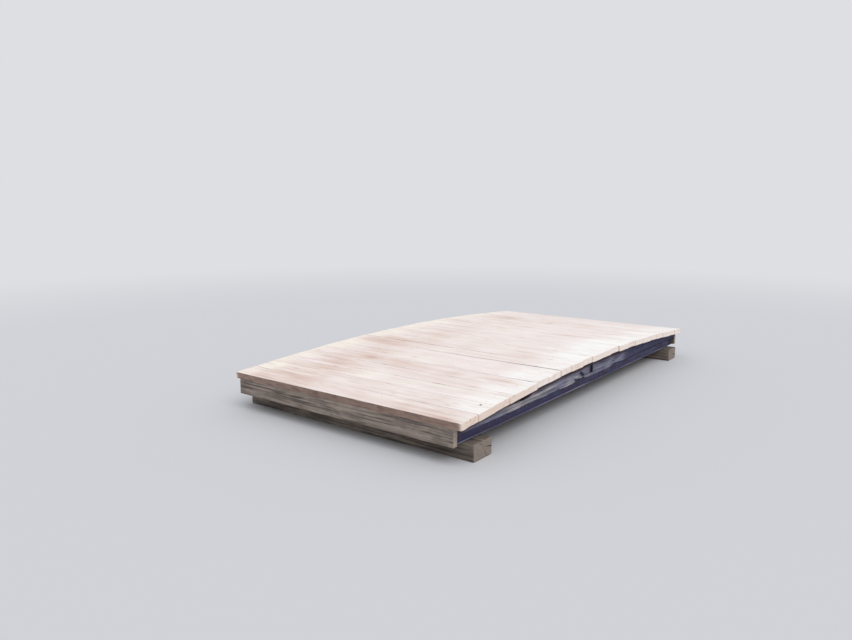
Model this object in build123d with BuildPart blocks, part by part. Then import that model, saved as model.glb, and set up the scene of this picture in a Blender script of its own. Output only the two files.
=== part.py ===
"""Arched timber footbridge: a plank deck on cambered bearers, steel joists and sleeper sills.

Row frame: +X runs along the span from the near end to the far end, +Y to the left, +Z up.
The origin is the centre of the plan at the underside of the two sills.
"""
from build123d import *
import os
from math import asin, atan, cos, degrees, sin, sqrt

# Deck boards, laid across the span
board_count = 22
board_width = 225.0
board_length = 2590.0
board_thickness = 60.0
board_gap = 1.7
board_arris = 2.0

# Height of the deck's crown over its ends
deck_rise = 104.0

# One board was ripped narrower and lies turned, which opens a tapering gap on each side of it
slim_board = 8
slim_board_trim = 9.5

# How far each board's ends step to the right of the deck's centre line, from the near end
board_steps = (10, 14, 9, 13, 12, -3, 2, -6, 4, -8, 3, -1, -14, 5, -5, 2, 6, -4, 1, 7, -5, 3)

# Cambered timber bearers under the boards
bearer_count = 4
bearer_width = 100.0
bearer_end_depth = 60.0
bearer_inset = 110.0

# Hollow worn into the top of the right bearer
hollow_station = -1485.0
hollow_length = 370.0
hollow_depth = 60.0

# Rolled steel joists under the bearers
joist_depth = 80.0
joist_flange_width = 46.0
joist_web_thickness = 4.0
joist_flange_thickness = 6.0
joist_root_radius = 5.0

# Tie let through the bearers near midspan
tie_station = -125.0
tie_width = 62.0
tie_height = 74.0
tie_lift = 36.0
tie_recess = 14.0
tie_side_clearance = 0.5
tie_top_clearance = 1.0

# End boards that close the bearers' ends
end_board_thickness = 50.0

# Sleeper sills, the feet of the bridge
sill_width = 250.0
sill_height = 150.0
sill_length = 2600.0
sill_inset = 300.0
sill_chamfer = 8.0

# Levels
joist_base = sill_height
bearer_base = joist_base + joist_depth
seat_end_level = bearer_base + bearer_end_depth
seat_crown_level = seat_end_level + deck_rise

# The boards' seats are flats on a circle, one flat to each board
board_pitch = board_width + board_gap
half_run = board_count * board_pitch / 2
seat_radius = (half_run**2 + deck_rise**2) / (2 * deck_rise)
seat_angle = 2 * asin(board_pitch / (2 * seat_radius))
seat_centre = seat_crown_level - seat_radius
seat_points = [
    (
        seat_radius * sin((k - board_count / 2) * seat_angle),
        seat_centre + seat_radius * cos((k - board_count / 2) * seat_angle),
    )
    for k in range(board_count + 1)
]
deck_end = seat_points[-1][0]

# The slim board turns until its tight corners keep the usual gap
slim_board_width = board_width - slim_board_trim
slim_board_turn = degrees(atan(slim_board_trim / board_length))

# Stations along the span and lines across it
bearer_end = deck_end - end_board_thickness
sill_station = deck_end - sill_inset
outer_line = board_length / 2 - bearer_inset
bearer_spacing = 2 * outer_line / (bearer_count - 1)
bearer_lines = [-outer_line + bearer_spacing * k for k in range(bearer_count)]
bearer_names = ("right", "centre_right", "centre_left", "left")
tie_centre_level = bearer_base + tie_lift + tie_height / 2
tie_length = 2 * outer_line + bearer_width - 2 * tie_recess


def board_plane(number):
    """The plane of a board's seat: its origin at the flat's middle, its x along the span."""
    angle = (number - (board_count + 1) / 2) * seat_angle
    reach = seat_radius * cos(seat_angle / 2)
    return Plane(
        origin=(reach * sin(angle), 0, seat_centre + reach * cos(angle)),
        x_dir=(cos(angle), 0, -sin(angle)),
        z_dir=(sin(angle), 0, cos(angle)),
    )


def make_board(number):
    """A straight sawn board that lies on its own flat of the arch."""
    is_slim = number == slim_board
    width = slim_board_width if is_slim else board_width
    turn = slim_board_turn if is_slim else 0.0
    step = board_steps[(number - 1) % len(board_steps)]
    with BuildPart() as board:
        with BuildSketch(board_plane(number)):
            with Locations((0, -step)):
                Rectangle(width, board_length, rotation=turn)
        extrude(amount=board_thickness)
        worn_edges = board.faces().sort_by(Axis.Z)[-1].edges()
        chamfer(worn_edges, length=board_arris)
    board.part.label = f"deck_board_{number:02d}"
    return board.part


def outline_under_seats(low_station, high_station, foot_level):
    """The side outline between two stations, from a level foot up to the boards' seats."""
    middle = (low_station + high_station) / 2
    with BuildSketch() as outline:
        with BuildLine():
            Polyline(*seat_points, (deck_end, foot_level), (-deck_end, foot_level), close=True)
        make_face()
        with Locations((middle, seat_crown_level / 2)):
            Rectangle(high_station - low_station, 2 * seat_crown_level, mode=Mode.INTERSECT)
    return outline.sketch


def make_bearer(name, line):
    """A bearer with a level foot and a top cut in flats that follow the arch."""
    with BuildPart() as bearer:
        with BuildSketch(Plane.XZ.offset(-line)):
            add(outline_under_seats(-bearer_end, bearer_end, bearer_base))
            mortise_level = tie_centre_level + tie_top_clearance / 2
            with Locations((tie_station, mortise_level)):
                Rectangle(
                    tie_width + 2 * tie_side_clearance,
                    tie_height + tie_top_clearance,
                    mode=Mode.SUBTRACT,
                )
            if name == "right":
                hollow_drop = seat_radius - sqrt(seat_radius**2 - hollow_station**2)
                with Locations((hollow_station, seat_crown_level - hollow_drop)):
                    Ellipse(hollow_length / 2, hollow_depth, mode=Mode.SUBTRACT)
        extrude(amount=bearer_width / 2, both=True)
    bearer.part.label = f"bearer_{name}"
    return bearer.part


def make_joist(name, line):
    """A rolled joist: two flanges on a web, with rounded roots."""
    pocket_width = (joist_flange_width - joist_web_thickness) / 2
    pocket_height = joist_depth - 2 * joist_flange_thickness
    pocket_offset = (joist_web_thickness + pocket_width) / 2
    with BuildPart() as joist:
        with BuildSketch(Plane.YZ.offset(-bearer_end)):
            with Locations((line, joist_base + joist_depth / 2)):
                Rectangle(joist_flange_width, joist_depth)
                with Locations((pocket_offset, 0), (-pocket_offset, 0)):
                    Rectangle(pocket_width, pocket_height, mode=Mode.SUBTRACT)
        extrude(amount=2 * bearer_end)
        roots = joist.edges().filter_by(Axis.X).filter_by(
            lambda edge: abs(edge.center().Y - line) < joist_web_thickness
        )
        fillet(roots, radius=joist_root_radius)
    joist.part.label = f"joist_{name}"
    return joist.part


def make_tie():
    """The tie that runs through the bearers' mortises near midspan."""
    with BuildPart() as tie:
        with BuildSketch(Plane.XZ):
            with Locations((tie_station, tie_centre_level)):
                Rectangle(tie_width, tie_height)
        extrude(amount=tie_length / 2, both=True)
    tie.part.label = "midspan_tie"
    return tie.part


def make_end_board(name, side):
    """A board on edge that closes the bearers' and joists' ends under the last deck board."""
    stations = sorted((side * bearer_end, side * deck_end))
    with BuildPart() as end_board:
        with BuildSketch(Plane.XZ):
            add(outline_under_seats(*stations, joist_base))
        extrude(amount=outer_line + bearer_width / 2, both=True)
    end_board.part.label = f"end_board_{name}"
    return end_board.part


def make_sill(name, side):
    """A sleeper laid across the bank, with its upper edges eased."""
    with BuildPart() as sill:
        with BuildSketch(Plane.XY):
            with Locations((side * sill_station, 0)):
                Rectangle(sill_width, sill_length)
        extrude(amount=sill_height)
        chamfer(sill.faces().sort_by(Axis.Z)[-1].edges(), length=sill_chamfer)
    sill.part.label = f"sill_{name}"
    return sill.part


pieces = [make_board(number) for number in range(1, board_count + 1)]
for name, line in zip(bearer_names, bearer_lines):
    pieces.append(make_bearer(name, line))
    pieces.append(make_joist(name, line))
pieces.append(make_tie())
for name, side in (("near", -1), ("far", 1)):
    pieces.append(make_end_board(name, side))
    pieces.append(make_sill(name, side))

os.makedirs("parts", exist_ok=True)
for piece in pieces:
    export_step(piece, f"parts/{piece.label}.step")
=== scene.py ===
"""Dresses the arched timber footbridge: bleached deck boards, old bearers, joists and sleeper sills.

Lengths are in metres in the row frame: +X along the span, +Y to the left, +Z up.
"""
import logging
import math
from dataclasses import dataclass
from enum import Enum
from itertools import product
from typing import Sequence

import bpy
import numpy as np
from mathutils import Matrix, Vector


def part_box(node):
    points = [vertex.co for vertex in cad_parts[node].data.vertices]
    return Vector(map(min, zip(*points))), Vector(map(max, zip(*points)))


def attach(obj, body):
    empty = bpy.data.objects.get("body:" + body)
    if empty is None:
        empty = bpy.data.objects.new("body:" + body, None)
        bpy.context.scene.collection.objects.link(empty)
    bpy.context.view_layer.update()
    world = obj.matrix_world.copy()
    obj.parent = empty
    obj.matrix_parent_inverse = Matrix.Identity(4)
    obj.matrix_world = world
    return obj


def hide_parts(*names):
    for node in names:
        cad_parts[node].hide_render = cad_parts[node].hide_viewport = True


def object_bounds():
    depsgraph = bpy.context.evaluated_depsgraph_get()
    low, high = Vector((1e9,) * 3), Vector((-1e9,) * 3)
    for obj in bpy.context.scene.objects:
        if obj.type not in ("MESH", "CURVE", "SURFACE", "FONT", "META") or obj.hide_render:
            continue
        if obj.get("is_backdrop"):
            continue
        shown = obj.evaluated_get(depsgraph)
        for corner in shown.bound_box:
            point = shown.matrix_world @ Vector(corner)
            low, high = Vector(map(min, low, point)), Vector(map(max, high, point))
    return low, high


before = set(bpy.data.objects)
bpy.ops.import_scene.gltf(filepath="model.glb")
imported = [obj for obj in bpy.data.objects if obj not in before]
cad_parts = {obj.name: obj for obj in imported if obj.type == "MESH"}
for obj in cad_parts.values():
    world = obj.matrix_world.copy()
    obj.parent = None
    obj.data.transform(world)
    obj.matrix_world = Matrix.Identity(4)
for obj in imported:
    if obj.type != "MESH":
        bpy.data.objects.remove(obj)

LOG = logging.getLogger("footbridge")
ROOT = "root"
Array = np.ndarray
Socket = bpy.types.NodeSocket
Material = bpy.types.Material
Piece = bpy.types.Object
Chance = np.random.Generator
Colour = tuple[float, float, float, float]


class Lattice:
    """Smooth seeded noise between -1 and 1, worked out for whole arrays."""

    PRIMES = (73856093, 19349663, 83492791)
    SIZE = 4096

    def __init__(self, seed: int) -> None:
        """Fills the table of lattice values from the seed."""
        self.values = np.random.default_rng(seed).uniform(-1.0, 1.0, self.SIZE)

    def at(self, *coordinates: Array | float) -> Array:
        """Blends the values at the lattice corners round each point by the curve 3t^2 - 2t^3.

        Args:
            coordinates: Up to three arrays, in lattice cells.

        Returns:
            One value for each point.
        """
        spread = np.broadcast_arrays(*[np.asarray(c, float) for c in coordinates])
        cells = [np.floor(c).astype(np.int64) for c in spread]
        eased = [(c - cell) ** 2 * (3 - 2 * (c - cell)) for c, cell in zip(spread, cells)]
        total = np.zeros(spread[0].shape)
        for corner in product((0, 1), repeat=len(spread)):
            key = np.zeros(spread[0].shape, np.int64)
            weight = np.ones(spread[0].shape)
            for step, cell, ease, prime in zip(corner, cells, eased, self.PRIMES):
                key ^= (cell + step) * prime
                weight = weight * (ease if step else 1 - ease)
            total += weight * self.values[key & (self.SIZE - 1)]
        return total

    def layered(self, *coordinates: Array | float, layers: int = 3) -> Array:
        """Adds layers of the noise, each twice as fine and half as strong as the one before.

        Args:
            coordinates: Up to three arrays, in cells of the coarsest layer.
            layers: How many layers are added.

        Returns:
            One value for each point, between about -1 and 1.
        """
        total = sum(
            self.at(*[np.asarray(c, float) * 2**k + 17.3 * k for c in coordinates]) / 2**k
            for k in range(layers)
        )
        return total / (2 - 0.5 ** (layers - 1))


def ease(value: Array, low: float, high: float) -> Array:
    """Rises smoothly from 0 at low to 1 at high, by 3t^2 - 2t^3 of the share of the way."""
    share = np.clip((value - low) / (high - low), 0.0, 1.0)
    return share * share * (3 - 2 * share)


def bell(value: Array, width: float) -> Array:
    """A bump of height 1 and the given half width: exp of minus the square of value over width."""
    return np.exp(-((value / width) ** 2))


def stack(*parts: Array | float) -> Array:
    """Sets the parts side by side along a new last axis, spread to one shape."""
    return np.stack(np.broadcast_arrays(*parts), axis=-1)


def srgb(red: float, green: float, blue: float) -> Colour:
    """Turns screen values into the linear colour that shows as them.

    Args:
        red: The red part, from 0 to 255.
        green: The green part.
        blue: The blue part.

    Returns:
        The colour, with full cover.
    """
    parts = [c / 255 for c in (red, green, blue)]
    linear = [c / 12.92 if c <= 0.04045 else ((c + 0.055) / 1.055) ** 2.4 for c in parts]
    return (*linear, 1.0)


@dataclass(frozen=True)
class Skin:
    """A closed surface: a grid whose rows run from end to end and whose columns go round."""

    points: Array
    marks: dict[str, Array]
    domed: bool = True

    def build(self, name: str, material: Material, slot: str) -> Piece:
        """Writes the grid to a mesh, with fans of triangles or one flat face at each end.

        The faces are turned outwards: the sum over the faces of the volume under each one, taken
        from the origin, comes out positive.

        Args:
            name: The piece's name.
            material: Its finish.
            slot: The record's material slot.

        Returns:
            The new object, which rides on the root body.
        """
        rows, columns = self.points.shape[:2]
        grid = np.arange(rows * columns).reshape(rows, columns)
        nxt = np.roll(grid, -1, axis=1)
        quads = stack(grid[:-1], nxt[:-1], nxt[1:], grid[1:]).reshape(-1, 4)
        verts = self.points.reshape(-1, 3)
        values = {key: mark.reshape(rows * columns, -1) for key, mark in self.marks.items()}
        if self.domed:
            poles = [self.points[0].mean(axis=0), self.points[-1].mean(axis=0)]
            verts = np.vstack([verts, poles])
            for key, mark in self.marks.items():
                tips = [mark[0].mean(axis=0), mark[-1].mean(axis=0)]
                values[key] = np.vstack([values[key], np.reshape(tips, (2, -1))])
            pole = rows * columns
            ends = [*stack(pole, nxt[0], grid[0]), *stack(pole + 1, grid[-1], nxt[-1])]
        else:
            ends = [grid[0][::-1], grid[-1]]
        a, b, c = (verts[quads[:, k]] for k in range(3))
        if np.einsum("ij,ij->i", a, np.cross(b, c)).sum() < 0:
            quads = quads[:, ::-1]
            ends = [face[::-1] for face in ends]
        mesh = bpy.data.meshes.new(name)
        write_faces(mesh, verts, quads, ends)
        write_marks(mesh, values)
        return add_piece(name, mesh, material, slot)


def write_faces(mesh: bpy.types.Mesh, verts: Array, quads: Array, others: Sequence[Array]) -> None:
    """Fills a mesh with smooth faces: the quads first, then faces of any number of corners.

    Args:
        mesh: The empty mesh.
        verts: Its points, one a row.
        quads: The four corners of each quad, as numbers of points.
        others: The corners of each other face.
    """
    sizes = [4] * len(quads) + [len(face) for face in others]
    corners = np.concatenate([quads.ravel(), *others]).astype(np.int32)
    starts = np.concatenate([[0], np.cumsum(sizes)[:-1]]).astype(np.int32)
    mesh.vertices.add(len(verts))
    mesh.vertices.foreach_set("co", np.asarray(verts, np.float32).ravel())
    mesh.loops.add(len(corners))
    mesh.loops.foreach_set("vertex_index", corners)
    mesh.polygons.add(len(sizes))
    mesh.polygons.foreach_set("loop_start", starts)
    mesh.polygons.foreach_set("use_smooth", np.ones(len(sizes), bool))
    mesh.update(calc_edges=True)
    mesh.validate()


def write_marks(mesh: bpy.types.Mesh, marks: dict[str, Array]) -> None:
    """Stores marks at a mesh's points.

    Args:
        mesh: The mesh.
        marks: For each name one row a point, of one value or of a vector's three.
    """
    for name, rows in marks.items():
        wide = rows.shape[1] == 3
        layer = mesh.attributes.new(name, "FLOAT_VECTOR" if wide else "FLOAT", "POINT")
        layer.data.foreach_set("vector" if wide else "value", rows.ravel())


def add_piece(name: str, mesh: bpy.types.Mesh, material: Material, slot: str) -> Piece:
    """Links a mesh as a piece of the bridge that rides on the root body.

    Args:
        name: The piece's name.
        mesh: Its mesh.
        material: Its finish.
        slot: The record's material slot, which is not used.

    Returns:
        The new object.
    """
    mesh.materials.append(material)
    piece = bpy.data.objects.new(name, mesh)
    bpy.context.collection.objects.link(piece)
    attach(piece, ROOT)
    return piece


@dataclass(frozen=True)
class Place:
    """Where a straight timber lies: its centre, its axes (along, across, up) and half sizes."""

    centre: Array
    axes: Array
    half: Array

    @classmethod
    def of_node(cls, name: str, along: Sequence[float]) -> "Place":
        """Finds a CAD node's own axes from the spread of its corners.

        The longest spread runs along the timber, and of the two others the steeper one is up.

        Args:
            name: The node.
            along: Roughly which way the timber runs.

        Returns:
            The node's place.
        """
        corners = node_corners(name)
        _, axes = np.linalg.eigh(np.cov((corners - corners.mean(axis=0)).T))
        run = axes[:, 2] * np.sign(axes[:, 2] @ np.asarray(along, float))
        up = max(axes[:, 0], axes[:, 1], key=lambda axis: abs(axis[2]))
        up = up * np.sign(up[2])
        axes = np.array([run, np.cross(run, up), up])
        reach = corners @ axes.T
        low, high = reach.min(axis=0), reach.max(axis=0)
        return cls((low + high) / 2 @ axes, axes, (high - low) / 2)

    def out(self, local: Array) -> Array:
        """Carries points from the timber's own axes to the row frame."""
        return local @ self.axes + self.centre


def node_corners(name: str) -> Array:
    """Reads the different corners of a CAD node's mesh.

    Args:
        name: The node.

    Returns:
        The corners in the row frame, one a row.
    """
    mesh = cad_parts[name].data
    flat = np.empty(len(mesh.vertices) * 3, np.float32)
    mesh.vertices.foreach_get("co", flat)
    world = np.array(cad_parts[name].matrix_world)
    points = flat.reshape(-1, 3).astype(float) @ world[:3, :3].T + world[:3, 3]
    return np.unique(points.round(5), axis=0)


@dataclass(frozen=True)
class Division:
    """How many samples a timber's surface has on each side, round each arris and on each end."""

    along: int
    across: int
    up: int
    under: int
    arc: int = 4
    cap: int = 7


@dataclass(frozen=True)
class Wrap:
    """A timber's surface before it is worn: side signs, outward directions and local points.

    A point is side * (half - arris) + arris * outward, which rounds every arris and corner. On
    the ends the section shrinks in rings to a pole.
    """

    side: Array
    outward: Array
    local: Array

    def parts(self) -> tuple[Array, Array, Array]:
        """The local points' places along, across and up."""
        return tuple(self.local[..., k] for k in range(3))

    def cracked(self, checks: Sequence["Check"], low: float, high: float) -> tuple[Array, Array]:
        """Draws the top's columns in on the checks and cuts them.

        Args:
            checks: The checks, on the top.
            low: Where they end, up from the middle of the timber.
            high: Where they have their whole depth.
        """
        along, across, up = self.parts()
        for check in checks:
            across = np.where(self.side[..., 2] > 0.99, check.gather(along, across), across)
        return across, sum(check.cut(along, across) for check in checks) * ease(up, low, high)

    @classmethod
    def round_timber(cls, half: Sequence[Array | float], division: Division, arris: Array) -> "Wrap":
        """Wraps a timber whose rows run along it.

        Args:
            half: Half sizes along, across and up; the last may vary along the rows.
            division: The number of samples.
            arris: The radius of the arrises, for each row and column, or one value.

        Returns:
            The wrapped surface.
        """
        ring = cls.section(division)
        run = cls.length(division)
        spread = run[:, 2:3]
        lean = np.cos(run[:, 1:2])
        side = stack(run[:, :1], spread * ring[:, 0], spread * ring[:, 1])
        outward = stack(np.sin(run[:, 1:2]), lean * ring[:, 2], lean * ring[:, 3])
        local = [side[..., k] * (half[k] - arris) + arris * outward[..., k] for k in range(3)]
        return cls(side, outward, stack(*local))

    @staticmethod
    def section(division: Division) -> Array:
        """Goes clockwise round a section from the top.

        Args:
            division: The number of samples.

        Returns:
            For each column the side signs across and up, then the outward direction's parts.
        """
        columns = []
        flats = ((division.across, 0), (division.up, 1), (division.under, 2), (division.up, 3))
        for count, quarter in flats:
            angle = math.pi / 2 * (1 - quarter)
            facing = np.array([round(math.cos(angle)), round(math.sin(angle))])
            ahead = np.array([facing[1], -facing[0]])
            share = np.linspace(-1, 1, count + 2)[1:-1, None]
            sides = facing + share * ahead
            columns.append(np.hstack([sides, np.broadcast_to(facing, sides.shape)]))
            turn = angle - np.linspace(0, math.pi / 2, division.arc)
            columns.append(stack(*(facing + ahead), np.cos(turn), np.sin(turn)))
        return np.vstack(columns)

    @staticmethod
    def length(division: Division) -> Array:
        """Runs from end to end.

        Args:
            division: The number of samples.

        Returns:
            For each row the side sign along, the angle towards the end and the ring's spread.
        """
        rings = np.linspace(0, 1, division.cap + 1)[1:] ** 0.8
        cap = stack(-1.0, -math.pi / 2, rings)
        bend = np.linspace(-math.pi / 2, 0, division.arc)[1:]
        arc = stack(-1.0, bend, 1.0)
        share = np.linspace(-1, 1, division.along + 2)[1:-1]
        flat = stack(share, 0.0, 1.0)
        start = np.vstack([cap, arc])
        return np.vstack([start, flat, start[::-1] * [-1, -1, 1]])


@dataclass(frozen=True)
class Patch:
    """A soft oval patch on a face: its centre, its half sizes and how strong it is."""

    first: float
    second: float
    half_first: float
    half_second: float
    strength: float

    @classmethod
    def table(cls, *rows: Sequence[float]) -> tuple["Patch", ...]:
        """Makes a patch of each row of values, in the order of the fields."""
        return tuple(cls(*row) for row in rows)

    def at(self, first: Array, second: Array) -> Array:
        """Strength times exp of minus the squared distance, each way counted in half sizes.

        Args:
            first: Places along the patch's first axis.
            second: Places along its second axis.

        Returns:
            The patch's share at each point.
        """
        away = ((first - self.first) / self.half_first) ** 2
        away = away + ((second - self.second) / self.half_second) ** 2
        return self.strength * np.exp(-away)


@dataclass(frozen=True)
class Check:
    """A drying crack along the grain on a timber's top, often open at an end."""

    across: float
    start: float
    stop: float
    depth: float
    width: float
    sway: float

    @classmethod
    def from_end(cls, half: float, end: int, reach: float, across: float, *sizes: float) -> "Check":
        """Opens a check at an end of a timber.

        Args:
            half: Half the timber's length.
            end: 1 for the end that the timber runs to, -1 for the other.
            reach: How far in the check comes.
            across: Its place across.
            sizes: Its depth, width and sway.

        Returns:
            The check, which starts 0.2 m outside the timber so that it is wide open at the end.
        """
        start, stop = sorted((end * (half + 0.2), end * (half - reach)))
        return cls(across, start, stop, *sizes)

    def line(self, along: Array) -> Array:
        """Where the crack runs: its place across, swung by a slow sine along the timber."""
        return self.across + self.sway * np.sin(9 * along + 40 * self.across)

    def open(self, along: Array) -> Array:
        """How open the crack is, 0 to 1, fading over the last part of its length at each end."""
        fade = 0.2 * (self.stop - self.start)
        return ease(along, self.start, self.start + fade) * ease(-along, -self.stop, fade - self.stop)

    def gather(self, along: Array, across: Array) -> Array:
        """Draws the columns near the crack in on it, by a bell curve of their distance."""
        away = self.line(along) - across
        return across + 0.55 * self.open(along) * away * bell(away, 0.02)

    def cut(self, along: Array, across: Array) -> Array:
        """Depth of the crack: a bell across it, times how open it is."""
        return self.depth * self.open(along) * bell(across - self.line(along), self.width)


class Graph:
    """Builds the nodes of one material, or of the world, call by call."""

    def __init__(self, name: str, world: bool = False) -> None:
        """Starts with an output alone.

        Args:
            name: The name of the material or the world.
            world: True for the world.
        """
        self.owner = (bpy.data.worlds if world else bpy.data.materials).new(name)
        self.owner.use_nodes = True
        self.tree = self.owner.node_tree
        self.tree.nodes.clear()
        self.output = self.tree.nodes.new("ShaderNodeOutput" + ("World" if world else "Material"))

    def node(self, kind: str, inputs: dict[str | int, object], **settings: object) -> bpy.types.Node:
        """Adds a node.

        Args:
            kind: The node's type, without its prefix.
            inputs: A socket or a constant for each input, by name or number.
            settings: The node's options.

        Returns:
            The new node.
        """
        made = self.tree.nodes.new("ShaderNode" + kind)
        for key, value in settings.items():
            setattr(made, key, value)
        for key, value in inputs.items():
            if isinstance(value, bpy.types.NodeSocket):
                self.tree.links.new(value, made.inputs[key])
            else:
                made.inputs[key].default_value = value
        return made

    def coordinates(self) -> Socket:
        """The object's own coordinates, which are the row frame's."""
        return self.node("TexCoord", {}).outputs["Object"]

    def mark(self, name: str) -> Socket:
        """A value that the mesh carries at its points."""
        return self.node("Attribute", {}, attribute_name=name).outputs["Fac"]

    def vector_mark(self, name: str) -> Socket:
        """A vector that the mesh carries at its points."""
        return self.node("Attribute", {}, attribute_name=name).outputs["Vector"]

    def math(self, operation: str, first: object, second: object = 0.0) -> Socket:
        """One sum of two values, kept as it comes."""
        return self.node("Math", {0: first, 1: second}, operation=operation).outputs[0]

    def vector(self, operation: str, first: object, second: object) -> Socket:
        """One sum of two vectors."""
        made = self.node("VectorMath", {0: first, 1: second}, operation=operation)
        return made.outputs["Value" if operation == "LENGTH" else "Vector"]

    def parts(self, vector: Socket) -> list[Socket]:
        """The three parts of a vector."""
        return list(self.node("SeparateXYZ", {0: vector}).outputs)

    def noise(
        self, vector: Socket, scale: Sequence[float], detail: float = 3.0, rough: float = 0.55
    ) -> Socket:
        """Smooth noise from 0 to 1.

        Args:
            vector: The point to read it at.
            scale: The number of cells a metre on each axis.
            detail: How many finer layers it has.
            rough: How strong each layer is against the one before.

        Returns:
            The noise.
        """
        grid = self.vector("MULTIPLY", vector, tuple(scale))
        inputs = {"Vector": grid, "Scale": 1.0, "Detail": detail, "Roughness": rough}
        return self.node("TexNoise", inputs).outputs["Fac"]

    def cells(self, vector: Socket, scale: Sequence[float]) -> Socket:
        """Distance from the nearest of scattered points, with cells a metre on each axis."""
        grid = self.vector("MULTIPLY", vector, tuple(scale))
        return self.node("TexVoronoi", {"Vector": grid, "Scale": 1.0}).outputs["Distance"]

    def span(
        self,
        value: object,
        low: float,
        high: float,
        to: Sequence[float] = (0, 1),
        curve: str = "SMOOTHSTEP",
    ) -> Socket:
        """Maps a stretch of values to another, held at both ends.

        Args:
            value: The value.
            low: Where the stretch starts.
            high: Where it ends.
            to: The values that it starts and ends at.
            curve: SMOOTHSTEP for a smooth rise, LINEAR for a straight line.

        Returns:
            The mapped value.
        """
        made = self.node(
            "MapRange",
            {"Value": value, "From Min": low, "From Max": high, "To Min": to[0], "To Max": to[1]},
            interpolation_type=curve,
        )
        return made.outputs["Result"]

    def blend(self, share: object, first: object, second: object) -> Socket:
        """Mixes two colours by a share from 0 to 1."""
        return self.node("Mix", {0: share, 6: first, 7: second}, data_type="RGBA").outputs[2]

    def coats(self, colour: object, *coats: tuple[object, object]) -> Socket:
        """Lays coats over a colour.

        Args:
            colour: The ground.
            coats: For each coat a share from 0 to 1 and its colour, from the lowest up.

        Returns:
            The colour on top.
        """
        for share, tone in coats:
            colour = self.blend(share, colour, tone)
        return colour

    def bump(self, height: Socket, strength: float, distance: float) -> Socket:
        """A normal that follows a height in metres times distance."""
        made = self.node("Bump", {"Height": height, "Strength": strength, "Distance": distance})
        return made.outputs["Normal"]

    def finish(self, colour: Socket, roughness: object, normal: Socket, **extra: object) -> Material:
        """Closes the tree with one principled shader."""
        inputs = {"Base Color": colour, "Roughness": roughness, "Normal": normal, **extra}
        return self.close(self.node("BsdfPrincipled", inputs))

    def close(self, shader: bpy.types.Node) -> bpy.types.ID:
        """Leads the last shader to the output, and gives back the material or the world."""
        self.tree.links.new(shader.outputs[0], self.output.inputs["Surface"])
        return self.owner


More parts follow.
